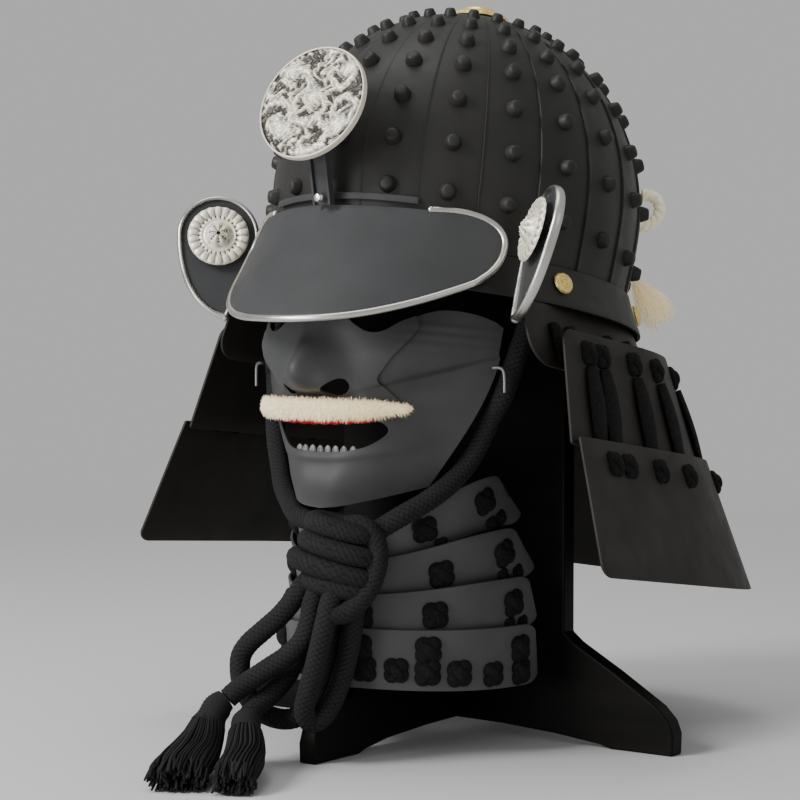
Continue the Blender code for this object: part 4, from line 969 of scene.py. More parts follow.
def visor_rim():
    """The rim's points in x and z, from its left end round the wing to the lower middle."""
    start_x, start_z = VISOR_RIM_START
    power = 2.0 / VISOR_WING_SQUARE
    points = []
    for i in range(VISOR_WING_STEPS + 1):
        turn = math.pi / 2.0 * i / VISOR_WING_STEPS
        across = math.sin(turn) ** power
        down = 1.0 - max(math.cos(turn), 0.0) ** power
        points.append((
            start_x + (VISOR_WING_REACH - start_x) * across, start_z + (VISOR_WING_Z - start_z) * down,
        ))
    wide, tall = VISOR_CORNER_RADII
    for i in range(1, VISOR_CORNER_STEPS + 1):
        turn = VISOR_CORNER_TURN * i / VISOR_CORNER_STEPS
        points.append((
            VISOR_WING_REACH - wide * (1.0 - math.cos(turn)), VISOR_WING_Z - tall * math.sin(turn),
        ))
    corner_x, corner_z = points[-1]
    for i in range(1, VISOR_FOOT_STEPS + 1):
        share = 1.0 - i / VISOR_FOOT_STEPS
        points.append((
            corner_x * share, VISOR_FOOT_Z + (corner_z - VISOR_FOOT_Z) * share ** VISOR_FOOT_POWER,
        ))
    return points


def visor_outline(inset):
    """The rim's points moved in towards the visor's middle."""
    points = [Vector((x, z)) for x, z in visor_rim()]
    moved_points = []
    for i, point in enumerate(points):
        before = points[max(i - 1, 0)]
        after = points[i + 1] if i + 1 < len(points) else Vector((-points[i - 1].x, points[i - 1].y))
        along = (after - before).normalized()
        moved_points.append(point + Vector((along.y, -along.x)) * inset)
    return moved_points


def along_points(points, t):
    place = t * (len(points) - 1)
    i = min(int(place), len(points) - 2)
    return points[i].lerp(points[i + 1], place - i)


def make_visor():
    edge = visor_outline(VISOR_RIM_RADIUS * 0.4)
    side = edge[:VISOR_RIM_CORNER + 1]
    foot = edge[VISOR_RIM_CORNER:]

    def place(u, v):
        across = 2.0 * u - 1.0
        sign = 1.0 if across >= 0.0 else -1.0
        share = abs(across)
        top = Vector((side[0].x * share, VISOR_TOP_Z + (side[0].y - VISOR_TOP_Z) * share ** 2))
        low = along_points(foot, 1.0 - share)
        outer = along_points(side, 1.0 - v)
        flat = low.lerp(top, v) + (outer - foot[0].lerp(side[0], v)) * share
        return visor_point(sign * flat.x, flat.y)

    sheet_piece("visor_sheet", 72, 28, place, VISOR_WALL, "visor", ("visor",))

    half = [visor_point(x, z) for x, z in visor_rim()]
    whole = half + [Vector((-point.x, point.y, point.z)) for point in reversed(half[:-1])]
    rim = swept(smooth_route(whole, 0.0025), 14, VISOR_RIM_RADIUS)
    end = ball((VISOR_RIM_RADIUS * 1.05,) * 3)
    ends = [moved(end, Matrix.Translation(whole[i])) for i in (0, -1)]
    add_piece("visor_edge", mesh_of("visor_edge", joined([rim, *ends])), "silver", ("visor_rim",), 60.0)


STRIP_REACH = math.radians(28.0)    # each way from the front
STRIP_LEVEL = 0.0475
STRIP_DIP = 0.0105
STRIP_TALL = 0.0040
STRIP_OUT = 0.0031
STRIP_WALL = 0.0014


def make_mount_strip():
    def place(u, v):
        angle = STRIP_REACH * (2.0 * u - 1.0)
        height = STRIP_LEVEL - STRIP_DIP * (1.0 - math.cos(angle)) + STRIP_TALL * v
        return bowl_point(angle, height, STRIP_OUT)

    strip_nodes = ("visor_mount_strip",)
    sheet_piece("mount_strip", 48, 2, place, STRIP_WALL, "visor", strip_nodes, 0.0, HELMET)


SCROLLS = (
    # centre x, centre y, reach, turns, sense
    (-0.0165, 0.0140, 0.0190, 1.5, 1.0), (0.0150, 0.0180, 0.0175, 1.4, -1.0),
    (0.0215, -0.0060, 0.0165, 1.4, 1.0), (-0.0215, -0.0120, 0.0165, 1.4, -1.0),
    (0.0000, -0.0015, 0.0170, 1.6, 1.0), (0.0050, -0.0245, 0.0165, 1.4, -1.0),
)


def scroll_relief(x, y):
    """Height from 0 to 1 of cloud scrolls and the leaves between them."""
    x += 0.0011 * math.sin(y * 410.0)
    y += 0.0011 * math.sin(x * 370.0 + 1.0)
    total = 0.0
    for cx, cy, reach, turns, sense in SCROLLS:
        distance = math.hypot(x - cx, y - cy) / reach
        if distance >= 1.15:
            continue
        angle = math.atan2(y - cy, x - cx) * sense
        arm = 0.5 + 0.5 * math.cos(angle + math.tau * turns * distance ** 0.8)
        notch = 0.80 + 0.20 * math.cos(9.0 * angle + 14.0 * distance)
        total = max(total, arm ** 1.5 * notch * (1.0 - (distance / 1.15) ** 6))
    upright = math.sin(x * 520.0 + 2.2 * math.sin(y * 400.0))
    level = math.sin(y * 470.0 + 1.9 * math.sin(x * 330.0))
    leaves = 0.5 + 0.5 * upright * level
    chips = 0.5 + 0.5 * math.sin(x * 1500.0 + 3.0 * math.sin(y * 1100.0)) * math.sin(y * 1400.0)
    plain = 0.5 + 0.5 * math.sin(x * 150.0 + 1.3) * math.cos(y * 170.0 - 0.6)
    high = max(total, 0.80 * leaves ** 1.6, 0.80 * plain ** 2.5)
    return min(1.0, high * 0.74 + 0.26 * chips)


DISC_RINGS = 78
DISC_SPOKES = 260
DISC_RIM = 0.0013
DISC_RELIEF = 0.0028
DISC_GROUND = 0.0002        # height of the relief's lowest places
DISC_FADE = 0.0012          # the relief dies away over this distance inside the rim
DISC_RIM_HOLLOW = 0.22      # how dark the plain rim is, from 0 to 1


def make_disc():
    inner = DISC_RADIUS - DISC_RIM
    spokes = DISC_SPOKES
    points, hollow = [], []
    for ring in range(DISC_RINGS + 1):
        radius = inner * ring / DISC_RINGS
        for spoke in range(spokes):
            turn = math.tau * spoke / spokes
            x, y = radius * math.cos(turn), radius * math.sin(turn)
            edge = min(1.0, (inner - radius) / DISC_FADE)
            relief = scroll_relief(x, y)
            points.append(Vector((x, y, DISC_RELIEF * relief * edge + DISC_GROUND)))
            hollow.append(min(1.0, 1.55 * (1.0 - relief) ** 1.5))
    for radius, height in (
        (inner + 0.0001, 0.0010), (inner + 0.0004, 0.0014), (inner + 0.0009, 0.0013),
        (DISC_RADIUS - 0.0002, 0.0009), (DISC_RADIUS, 0.0002), (DISC_RADIUS, -DISC_WALL),
        (DISC_RADIUS - 0.002, -DISC_WALL), (0.0, -DISC_WALL),
    ):
        for spoke in range(spokes):
            turn = math.tau * spoke / spokes
            points.append(Vector((radius * math.cos(turn), radius * math.sin(turn), height)))
            hollow.append(DISC_RIM_HOLLOW)
    faces = lattice(len(points) // spokes, spokes, False, True)
    turn = Euler((math.pi / 2.0 - DISC_TILT, 0.0, DISC_TURN)).to_matrix().to_4x4()
    mesh = mesh_of("disc", (points, faces), MODEL @ Matrix.Translation(DISC_CENTRE) @ turn, hollow)
    add_piece("crest_relief", mesh, "old", ("crest_disc",), 70.0)


# ---------------------------------------------------------------- turnbacks

def bezier(start, first, second, end, t):
    s = 1.0 - t
    return start * s ** 3 + first * (3.0 * s * s * t) + second * (3.0 * s * t * t) + end * t ** 3


TEARDROP_STEPS = 56


def teardrop(radius):
    """A circle drawn out to the lower tip, as points in the plate's own plane."""
    scale = (TURNBACK_TIP.length - (TURNBACK_RADIUS - radius) * 2.2) / TURNBACK_TIP.length
    tip = TURNBACK_TIP * scale
    sweep = math.tau + math.atan2(tip.y, tip.x) - math.acos(radius / tip.length)
    turns = [sweep * i / TEARDROP_STEPS for i in range(TEARDROP_STEPS + 1)]
    points = [Vector((radius * math.cos(turn), radius * math.sin(turn))) for turn in turns]
    last = points[-1]
    for t in (0.15, 0.33, 0.50, 0.66, 0.85):
        points.append(last.lerp(tip, t) + last.normalized() * (0.0010 * math.sin(math.pi * t)))
    points.append(tip)
    low, high = TURNBACK_BELLY[1] * scale, TURNBACK_BELLY[0] * scale
    points += [bezier(tip, low, high, points[0], i / 20) for i in range(1, 20)]
    return points


ROSETTE_STEPS = 176
ROSETTE_HALF_PETALS = 11.0  # petals in half a turn
ROSETTE_MARKS = 26.0
ROSETTE_PROFILE = (
    # radius, height
    (0.0, 0.0046), (0.0010, 0.0048), (0.0014, 0.0068), (0.0022, 0.0072), (0.0030, 0.0069),
    (0.0038, 0.0065), (0.0046, 0.0060), (0.0055, 0.0054),
    (0.0064, 0.0048), (0.0080, 0.0030), (0.0090, 0.0018), (0.0100, 0.0016), (0.0108, 0.0020),
    (0.0116, 0.0013), (0.0128, 0.0013), (0.0134, 0.0020), (0.0150, 0.0026), (0.0172, 0.0024),
    (0.0188, 0.0018), (0.0195, 0.0010), (0.0195, 0.0000), (0.0, 0.0),
)


def rosette_point(radius, height, turn):
    """A point of the rosette and how dark it is: petals, pierced marks and a knobbly middle."""
    size, rise, dark = radius, height, 0.14
    petal = abs(math.sin(ROSETTE_HALF_PETALS * turn))
    if radius >= 0.0172 and height > 0.0:
        size *= 0.965 + 0.035 * petal
    if 0.0130 < radius < 0.0190:
        rise -= 0.0005 * (1.0 - petal)
        dark = 0.14 + 0.60 * (1.0 - petal) ** 2
    if 0.0112 < radius < 0.0130:
        dark = 0.85 * max(0.0, math.cos(ROSETTE_MARKS * turn)) ** 0.5
        rise -= 0.0006 * dark
    if 0.0020 < radius < 0.0085:
        knob = math.cos(7.0 * turn + 2.0 * math.sin(radius * 1900.0)) * math.cos(radius * 1700.0)
        rise += 0.0009 * knob
        dark = 0.18 + 0.80 * max(0.0, -knob)
    if radius < 0.0012:
        dark = 1.0
    return Vector((size * math.cos(turn), size * math.sin(turn), rise)), dark


def rosette_shape():
    made = [
        rosette_point(radius, height, math.tau * step / ROSETTE_STEPS)
        for radius, height in ROSETTE_PROFILE for step in range(ROSETTE_STEPS)
    ]
    faces = lattice(len(ROSETTE_PROFILE), ROSETTE_STEPS, False, True)
    return ([point for point, _ in made], faces), [dark for _, dark in made]


def make_turnback(side, name):
    turn = Euler((math.pi / 2.0 - TURNBACK_LEAN, 0.0, -side * TURNBACK_TURN)).to_matrix().to_4x4()
    centre = Vector((side * TURNBACK_CENTRE.x, TURNBACK_CENTRE.y, TURNBACK_CENTRE.z))
    matrix = MODEL @ Matrix.Translation(centre) @ turn

    plate = [(side * p.x, p.y) for p in teardrop(TURNBACK_RADIUS - TURNBACK_RIM_RADIUS * 0.6)]
    mesh = mesh_of("plate", board_shape(plate, TURNBACK_WALL), matrix)
    add_piece(f"turnback_plate_{name}", mesh, "visor", (f"turnback_{name}",), 30.0)

    loop = [Vector((side * p.x, p.y, 0.0)) for p in teardrop(TURNBACK_RADIUS)]
    tip = loop.index(min(loop, key=lambda point: point.y))
    around = loop[tip:] + loop[:tip]
    route = smooth_route([*around, around[-1].lerp(around[0], 0.85)], 0.0022)
    rim = swept(route, 16, TURNBACK_RIM_RADIUS * 0.95, flat=1.6)
    bead = moved(ball((0.0027, 0.0027, 0.0027)), Matrix.Translation(around[0]))
    mesh = mesh_of("rim", joined([rim, bead]), matrix)
    add_piece(f"turnback_edge_{name}", mesh, "silver", (f"turnback_rim_{name}",), 60.0)

    shape, hollow = rosette_shape()
    drop = matrix @ Matrix.Translation((0.0, -ROSETTE_DROP, ROSETTE_STAND_OFF))
    mesh = mesh_of("rosette", shape, drop, hollow)
    add_piece(f"rosette_petals_{name}", mesh, "old", (f"rosette_{name}",), 60.0)


# ---------------------------------------------------------------- lacing

def lace_knot(size):
    """A puffy cross knot of four lobes under two short crossing laces, on the XY plane."""
    lobe, faces = ball((0.43 * size, 0.43 * size, 0.27 * size), 18, 12)
    lobe = [Vector((p.x, p.y, max(p.z, -0.04 * size))) for p in lobe]
    shapes = [
        ([p + Vector((x * size, y * size, 0.02 * size)) for p in lobe], faces)
        for x in (-0.23, 0.23) for y in (-0.23, 0.23)
    ]
    for degrees, lift in ((45.0, 0.14), (-45.0, 0.28)):
        arm, arm_faces = ball((0.60 * size, 0.30 * size, 0.17 * size), 18, 12)
        turn = Matrix.Rotation(math.radians(degrees), 4, "Z")
        bent = [Vector((p.x, p.y, max(0.0, p.z + lift * size - 0.36 * p.x * p.x / size))) for p in arm]
        shapes.append(([turn @ point for point in bent], arm_faces))
    return joined(shapes)


def stand_on(point, normal, up):
    """A matrix that lays a flat shape on a surface, its Y along up."""
    side = up.cross(normal).normalized()
    level = normal.cross(side).normalized()
    return Matrix.Translation(point) @ Matrix((side, level, normal)).transposed().to_4x4()


FRAME_STEPS = (0.004, 0.05)     # in u and v, for a sheet's directions


def surface_frame(place, u, v):
    """Point, outward normal and up direction of a sheet at u, v."""
    near_u, near_v = FRAME_STEPS
    point = place(u, v)
    across = place(min(u + near_u, 1.0), v) - place(max(u - near_u, 0.0), v)
    up = place(u, min(v + near_v, 1.0)) - place(u, max(v - near_v, 0.0))
    normal = across.cross(up).normalized()
    if normal.dot(Vector((point.x, point.y, 0.0))) < 0.0:
        normal = -normal
    return point, normal, up.normalized()


KNOT_LIFT = 0.0008          # of a lace knot over its lame
LACE_SIDES = 12


def knot_on(place, u, v, size):
    """A lace knot laid on a sheet at u, v."""
    point, normal, up = surface_frame(place, u, v)
    return moved(lace_knot(size), stand_on(point + normal * KNOT_LIFT, normal, up))


def lace_strand(place, u, start, end, size, lift):
    """A soft flat lace down a sheet from share start to share end of its height."""
    stops = []
    for i in range(9):
        t = i / 8
        point, normal, _ = surface_frame(place, u, start + (end - start) * t)
        stops.append(point + normal * (lift + 0.0015 * math.sin(math.pi * t)))
    normal = surface_frame(place, u, (start + end) / 2.0)[1]
    route = smooth_route(stops, 0.002)
    length = route_length(route)
    points, distance = [], 0.0
    for i, centre in enumerate(route):
        distance += (centre - route[i - 1]).length if i else 0.0
        along = (route[min(i + 1, len(route) - 1)] - route[max(i - 1, 0)]).normalized()
        across = along.cross(normal).normalized()
        swell = 0.55 + 0.45 * math.sin(math.pi * min(max(distance / length, 0.0), 1.0)) ** 0.5
        for side in range(LACE_SIDES):
            turn = math.tau * side / LACE_SIDES
            points.append(
                centre + across * (size * swell * math.cos(turn)) + normal * (0.30 * size * math.sin(turn))
            )
    faces = lattice(len(route), LACE_SIDES, False, True)
    faces.append(tuple(reversed(range(LACE_SIDES))))
    faces.append(tuple(range(len(points) - LACE_SIDES, len(points))))
    return points, faces


# ---------------------------------------------------------------- neck guard

def neck_edge(share, numbers):
    """A point of a lame's edge, and its distance from the nearer front edge."""
    half_width, back_depth, front_y, front_z, fall, squareness, _ = numbers
    nearer = min(share, 1.0 - share)
    if nearer < NECK_SIDE_END:
        distance = -front_y * nearer / NECK_SIDE_END
        x, y = math.copysign(half_width, share - 0.5), front_y + distance
    else:
        turn = math.pi * (share - NECK_SIDE_END) / (1.0 - 2.0 * NECK_SIDE_END)
        power = 2.0 / squareness
        x = half_width * math.copysign(abs(math.cos(turn)) ** power, -math.cos(turn))
        y = back_depth * max(0.0, math.sin(turn)) ** power
        distance = back_depth - front_y
    return Vector((x, y, front_z - fall * (y - front_y) - NECK_TWIST * x * (y - front_y))), distance


def corner_cut(radius, distance):
    """How far a rounded corner draws an edge in, at a distance from the free edge."""
    missing = max(0.0, radius - distance)
    return radius - math.sqrt(radius ** 2 - missing ** 2)


def neck_place(name):
    top, foot = NECK_LAMES[name]

    def place(share, v):
        high, distance = neck_edge(share, top)
        low, _ = neck_edge(share, foot)
        length = (high - low).length
        from_foot = corner_cut(foot[-1], distance) / length
        from_top = corner_cut(top[-1], distance) / length
        return low.lerp(high, from_foot + (1.0 - from_foot - from_top) * v)

    return place


NECK_KNOTS = {
    # shares of a lame's edge, from its front edge, where its knots stand in pairs
    "neck_lame_2": (0.075, 0.120, 0.228, 0.268, 0.325, 0.365, 0.460, 0.500),
    "neck_lame_3": (0.084, 0.125, 0.2175, 0.262, 0.330, 0.372, 0.460, 0.500),
}
NECK_KNOT_LEVEL = {"neck_lame_2": 0.82, "neck_lame_3": 0.83}
NECK_KNOT_SIZE = 0.0116
NECK_STRANDS = {
    # start and end share of the lame's height, half width, lift
    "neck_lame_2": (0.70, -0.02, 0.0080, 0.0018),
    "neck_lame_1": (0.70, 0.10, 0.0068, 0.0020),
}


def both_sides(shares):
    return sorted({*shares, *(round(1.0 - share, 4) for share in shares)})


def crowded_shares(steps, corner_share):
    """Shares from 0 to 1 with more of them near both ends."""
    near = [corner_share * (i / 8) ** 2 for i in range(8)]
    middle = [corner_share + (1.0 - 2.0 * corner_share) * i / steps for i in range(steps + 1)]
    return [*near, *middle, *(1.0 - share for share in reversed(near))]


def lame_piece(name, place, shares, wall, finish):
    """A lame whose columns stand at the given shares of its edge."""
    last = len(shares) - 1

    def fine(u, v):
        return place(shares[round(u * last)], v)

    sheet_piece(f"{name}_sheet", last, 6, fine, wall, finish, (name,), edge=0.0005)


def make_neck_guard():
    shares = crowded_shares(110, 0.035)
    for name in NECK_LAMES:
        lame_piece(name, neck_place(name), shares, NECK_WALL, "neck")

    laces = []
    for name, knots in NECK_KNOTS.items():
        place, level = neck_place(name), NECK_KNOT_LEVEL[name]
        laces += [knot_on(place, share, level, NECK_KNOT_SIZE) for share in both_sides(knots)]
    for name, numbers in NECK_STRANDS.items():
        place = neck_place(name)
        for share in both_sides(NECK_KNOTS["neck_lame_2"]):
            laces.append(lace_strand(place, share, *numbers))
    add_piece("neck_laces", mesh_of("neck_laces", joined(laces)), "lace", (), 80.0)


# ---------------------------------------------------------------- mask

def soft_min(first, second, softness):
    mix = min(max(0.5 + 0.5 * (second - first) / softness, 0.0), 1.0)
    return second * (1.0 - mix) + first * mix - softness * mix * (1.0 - mix)


def bump(value, middle, width):
    return math.exp(-((value - middle) / width) ** 2)


def ramp(value):
    value = min(max(value, 0.0), 1.0)
    return value * value * (3.0 - 2.0 * value)


def mask_share(z):
    """How far up the face form a level lies, from 0 to 1."""
    return min(max((z - MASK_FORM_FOOT) / (MASK_FORM_TOP - MASK_FORM_FOOT), 0.0), 1.0)


def mask_half_width(z):
    turn = math.pi / 2.0 * min(mask_share(z) / MASK_CHEEK_SHARE, 1.0)
    return MASK_JAW_HALF + (MASK_CHEEK_HALF - MASK_JAW_HALF) * math.sin(turn) ** MASK_JAW_SWELL


def mask_base(x, z):
    """The plain face form: a flat front that turns back to the rear edge."""
    rear = MASK_JAW_REAR + (MASK_CHEEK_REAR - MASK_JAW_REAR) * mask_share(z) ** MASK_REAR_POWER
    front = MASK_FRONT - MASK_CHIN_OUT * bump(z, MASK_CHIN_Z, MASK_CHIN_TALL)
    share = min(abs(x) / mask_half_width(z), 1.0)
    return rear + (front - rear) * soft_min(1.0, MASK_CORNER * (1.0 - share), 0.35)


# mounds of the mask: height, middle and width across, middle and width up
NOSE_BULB = (0.0250, 0.0, 0.0140, 0.2330, 0.0150)
NOSE_WING = (0.0060, 0.0160, 0.0070, 0.2270, 0.0085)
CHEEK = (0.0105, 0.0590, 0.0230, 0.2440, 0.0170)
CHIN = (0.0030, 0.0, 0.0240, 0.1640, 0.0090)
UNDER_LIP = (-0.0008, 0.0, 0.030, 0.1755, 0.0045)
CHEEK_FOLDS = (0.2485, 0.2540, 0.2595)


def mound(form, x, z):
    height, middle, wide, level, tall = form
    return height * bump(x, middle, wide) * bump(z, level, tall)


def mask_relief(x, z):
    """Nose, cheeks, folds and chin, as a height in front of the plain form."""
    x = abs(x)
    bridge = 0.0060 * bump(x, 0.0, 0.011) * ramp((z - 0.232) / 0.020)
    bulb = mound(NOSE_BULB, x, z) * ramp((z - 0.2178) / 0.0055)
    crease = 0.2240 + 0.34 * (x - 0.040)
    cheek = mound(CHEEK, x, z) * ramp((z - crease) / 0.0028)
    hollow = mound((-0.0048, 0.0600, 0.0170, crease - 0.0040, 0.0090), x, z)
    mouth = math.hypot(x / 0.040, (z - 0.1955) / 0.0105)
    lips = 0.0014 * bump(mouth, 1.30, 0.22)
    fold = mound((0.0016, 0.0, 0.0045, 0.2130, 0.0140), x - 0.030 - 0.55 * (0.222 - z), z)
    folds = sum(
        0.0009 * bump(z - (level - 0.14 * (x - 0.0600)), 0.0, 0.0019) * bump(x, 0.0700, 0.0150)
        for level in CHEEK_FOLDS
    )
    nose_and_cheek = bridge + bulb + mound(NOSE_WING, x, z) + cheek + hollow
    return nose_and_cheek + mound(CHIN, x, z) + lips + fold + mound(UNDER_LIP, x, z) + folds


def mask_y(x, z):
    return mask_base(x, z) - mask_relief(x, z)


def mask_plate_point(u, v):
    across = 2.0 * u - 1.0
    share = abs(across)
    foot = table_value(MASK_FOOT, share * MASK_FOOT[-1][0], 1)
    top = table_value(MASK_TOP, share * MASK_TOP[-1][0], 1)
    z = foot + (top - foot) * v
    x = across * mask_half_width(z)
    return Vector((x, mask_y(x, z), z))


def mirrored(half):
    return [*half, *((-x, z) for x, z in reversed(half) if x > 1e-6)]


def smooth_outline(points, spacing):
    """A closed outline of (x, z) with its corners rounded."""
    ring = [Vector((x, 0.0, z)) for x, z in points]
    route = smooth_route([ring[-1], *ring, ring[0], ring[1]], spacing)
    first = min(range(len(route) // 3), key=lambda i: (route[i] - ring[0]).length)
    last = max(range(len(route) // 2, len(route)), key=lambda i: -(route[i] - ring[0]).length)
    return [(point.x, point.z) for point in route[first:last]]


def wall_cutter(outline, depth, y):
    """A prism along Y of an outline of (x, z)."""
    matrix = MODEL @ Matrix.Translation((0.0, y, 0.0)) @ Matrix.Rotation(math.pi / 2.0, 4, "X")
    return moved(board_shape(outline, depth), matrix)


CUT_DEPTH = 0.080           # of a prism that cuts an opening in the mask
CUT_Y = -0.150


def make_mask():
    plate = sheet_piece(
        "mask_face", 190, 120, mask_plate_point, MASK_WALL, "grey", ("mask_plate",), edge=0.0
    )
    window = [(0.0, NOSE_FOOT + 1.4 * NOSE_OVERLAP)]
    for z, half_width in NOSE_SIDES[1:]:
        window.append((half_width - NOSE_OVERLAP - 0.010 * ramp((z - 0.248) / 0.010), z))
    window += [(0.030, 0.2800), (0.0, 0.2800)]
    cut(plate, [
        wall_cutter(smooth_outline(mirrored(MOUTH_HALF), 0.0012), CUT_DEPTH, CUT_Y),
        wall_cutter(mirrored(window), CUT_DEPTH, CUT_Y),
    ])


def make_nose():
    def place(u, v):
        across = 2.0 * u - 1.0
        nominal = NOSE_FOOT + v * (NOSE_SIDES[-1][0] - NOSE_FOOT)
        x = across * table_value(NOSE_SIDES, nominal, 1)
        top = table_value(MASK_TOP, abs(x), 1)
        z = NOSE_FOOT + v * (top - NOSE_FOOT)
        return Vector((x, mask_y(x, z) - NOSE_LIFT, z))

    nose = sheet_piece("mask_nose", 140, 80, place, MASK_WALL, "grey", ("nose_piece",), edge=0.0)
    cut(nose, [nostril_cutter(side) for side in (-1.0, 1.0)])


def nostril_cutter(side):
    """A flattened cylinder through the nose, on one side."""
    points, faces = turned(((0.0, -0.5), (1.0, -0.5), (1.0, 0.5), (0.0, 0.5)), 40)
    wide, tall, deep = NOSTRIL_SIZE
    scaled = [Vector((point.x * wide, point.y * tall, point.z * deep)) for point in points]
    centre = Vector((side * NOSTRIL.x, NOSTRIL.y, NOSTRIL.z))
    turn = Euler((NOSTRIL_TURN, 0.0, side * NOSTRIL_SPLAY)).to_matrix().to_4x4()
    return moved((scaled, faces), MODEL @ Matrix.Translation(centre) @ turn)


MOUSTACHE_HAIRS = 7500
MOUSTACHE_LEFT = -0.905     # its ends as shares of its half length
MOUSTACHE_RIGHT = 0.965
LIP_Z = 0.2150


def moustache_surface(x):
    """Middle of the moustache's thickness in front of the lip."""
    return mask_base(x, LIP_Z) - (NOSE_LIFT + 0.0050 + MOUSTACHE_THICK / 2.0)


def moustache_height(x):
    """The strip's half height: full along most of it and drawn in at its ends."""
    share = min(abs(x) / MOUSTACHE_HALF, 1.0)
    return MOUSTACHE_TALL / 2.0 * 0.90 * (1.0 - 0.45 * share ** 5 - 0.30 * ramp((x - 0.036) / 0.018))


def moustache_hair(rng):
    """One flat hair: a strip that ends in a point."""
    x = rng.uniform(MOUSTACHE_LEFT, MOUSTACHE_RIGHT) * MOUSTACHE_HALF
    turn = rng.uniform(-0.45 * math.pi, 0.55 * math.pi) + (math.pi if rng.random() < 0.12 else 0.0)
    flow = Vector((rng.uniform(-0.6, 0.6) + 14.0 * x, 0.0, rng.uniform(-0.75, 0.35)))
    out = Vector((0.0, -math.cos(turn), math.sin(turn)))
    along = (flow + out * rng.uniform(0.10, 0.55)).normalized()
    length = rng.uniform(0.0020, 0.0038)
    if abs(x) > MOUSTACHE_HALF - length and x * along.x > 0.0:
        length *= 0.5
    depth = MOUSTACHE_THICK / 2.0 * 0.78 * math.cos(turn)
    level = MOUSTACHE_Z + moustache_height(x) * 0.84 * math.sin(turn)
    foot = Vector((x, moustache_surface(x) - depth, level))
    across = along.cross(out).normalized()
    width = rng.uniform(0.00012, 0.00024)
    middle = foot + along * (0.5 * length) + out * 0.0004
    tip = foot + along * length + Vector((0.0, 0.0, -0.0006))
    points = [
        foot - across * width, foot + across * width,
        middle - across * width * 0.8, middle + across * width * 0.8, tip,
    ]
    return points, [(0, 1, 3, 2), (2, 3, 4)]


def make_moustache():
    def core(u, v):
        x = MOUSTACHE_HALF * (1.87 * u + MOUSTACHE_LEFT)
        turn = math.tau * v
        depth = MOUSTACHE_THICK / 2.0 * 0.80 * math.cos(turn)
        level = moustache_height(x) * 0.86 * math.sin(turn)
        return Vector((x, moustache_surface(x) - depth, MOUSTACHE_Z + level))

    rng = random.Random(5)
    shapes = [sheet(90, 20, core), *(moustache_hair(rng) for _ in range(MOUSTACHE_HAIRS))]
    add_piece("moustache_fur", mesh_of("fur", joined(shapes)), "hair", ("moustache",), 180.0)


FELT_DROP = 0.0041          # of its middle under the moustache's
FELT_OUT = 0.0029
FELT_WALL = 0.0008


def make_felt():
    def place(u, v):
        across = 2.0 * u - 1.0
        x = FELT_HALF * across
        tall = FELT_TALL * (1.0 - 0.35 * across * across)
        level = MOUSTACHE_Z - FELT_DROP + tall * (v - 0.5) + 0.0003 * math.sin(60.0 * u)
        return Vector((x, mask_base(x, LIP_Z) - NOSE_LIFT - FELT_OUT, level))

    felt_nodes = ("moustache_backing",)
    sheet_piece("felt_backing", 80, 4, place, FELT_WALL, "felt", felt_nodes, edge=0.0)


TOOTH_COUNT = 8
TOOTH_SIZE = (0.0027, 0.0013, 0.0046)
TOOTH_Z = 0.1842
TEETH_HALF = 0.023
TEETH_LEVEL = 0.185         # where the mask's form gives the row its bend
GUM_Z = 0.1812


def make_teeth():
    shapes = []
    for number in range(TOOTH_COUNT):
        x = TEETH_HALF * (2.0 * (number + 0.5) / TOOTH_COUNT - 1.0)
        centre = Vector((x, mask_base(x, TEETH_LEVEL) + 0.0040, TOOTH_Z))
        shapes.append(moved(ball(TOOTH_SIZE, 16, 12), Matrix.Translation(centre)))

    def gum(u, v):
        x = TEETH_HALF * (2.0 * u - 1.0)
        turn = math.tau * v
        y = mask_base(x, TEETH_LEVEL) + 0.0044 + 0.0010 * math.cos(turn)
        return Vector((x, y, GUM_Z + 0.0018 * math.sin(turn)))

    shapes.append(sheet(40, 12, gum))
    add_piece("teeth_row", mesh_of("teeth", joined(shapes)), "teeth", ("lower_teeth",), 60.0)


HOOK_RADIUS = 0.0011
HOOK_STOPS = (
    (0.0880, -0.0895, 0.2350), (0.0905, -0.0885, 0.2352), (0.0932, -0.0875, 0.2345),
    (0.0945, -0.0870, 0.2320), (0.0948, -0.0868, 0.2270), (0.0948, -0.0868, 0.2205),
)


def make_hook(side, name):
    route = smooth_route([(side * x, y, z) for x, y, z in HOOK_STOPS], 0.0008)
    mesh = mesh_of("hook", swept(route, 12, HOOK_RADIUS))
    add_piece(f"hook_{name}", mesh, "steel", (f"cheek_hook_{name}",), 60.0)


# ---------------------------------------------------------------- throat guard

def throat_place(name):
    half_width, corner_top, corner_low, front_y, *heights = THROAT_LAMES[name]
    top_corner, low_corner, top_front, low_front = heights

    def place(share, v):
        turn = math.pi * (share - 0.5)
        tuck = THROAT_TUCK * (1.0 - v)
        corner_y = corner_low + (corner_top - corner_low) * v
        x = (half_width - tuck) * math.sin(turn)
        y = corner_y + (front_y + tuck - corner_y) * max(0.0, math.cos(turn)) ** 0.85
        swing = abs(math.sin(turn)) ** 2.2
        top = top_front + (top_corner - top_front) * swing
        low = low_front + (low_corner - low_front) * swing
        distance = math.pi * half_width * min(share, 1.0 - share)
        cut_back = corner_cut(THROAT_CORNER, distance)
        return Vector((x, y, low + cut_back + (top - low - 2.0 * cut_back) * v))

    return place


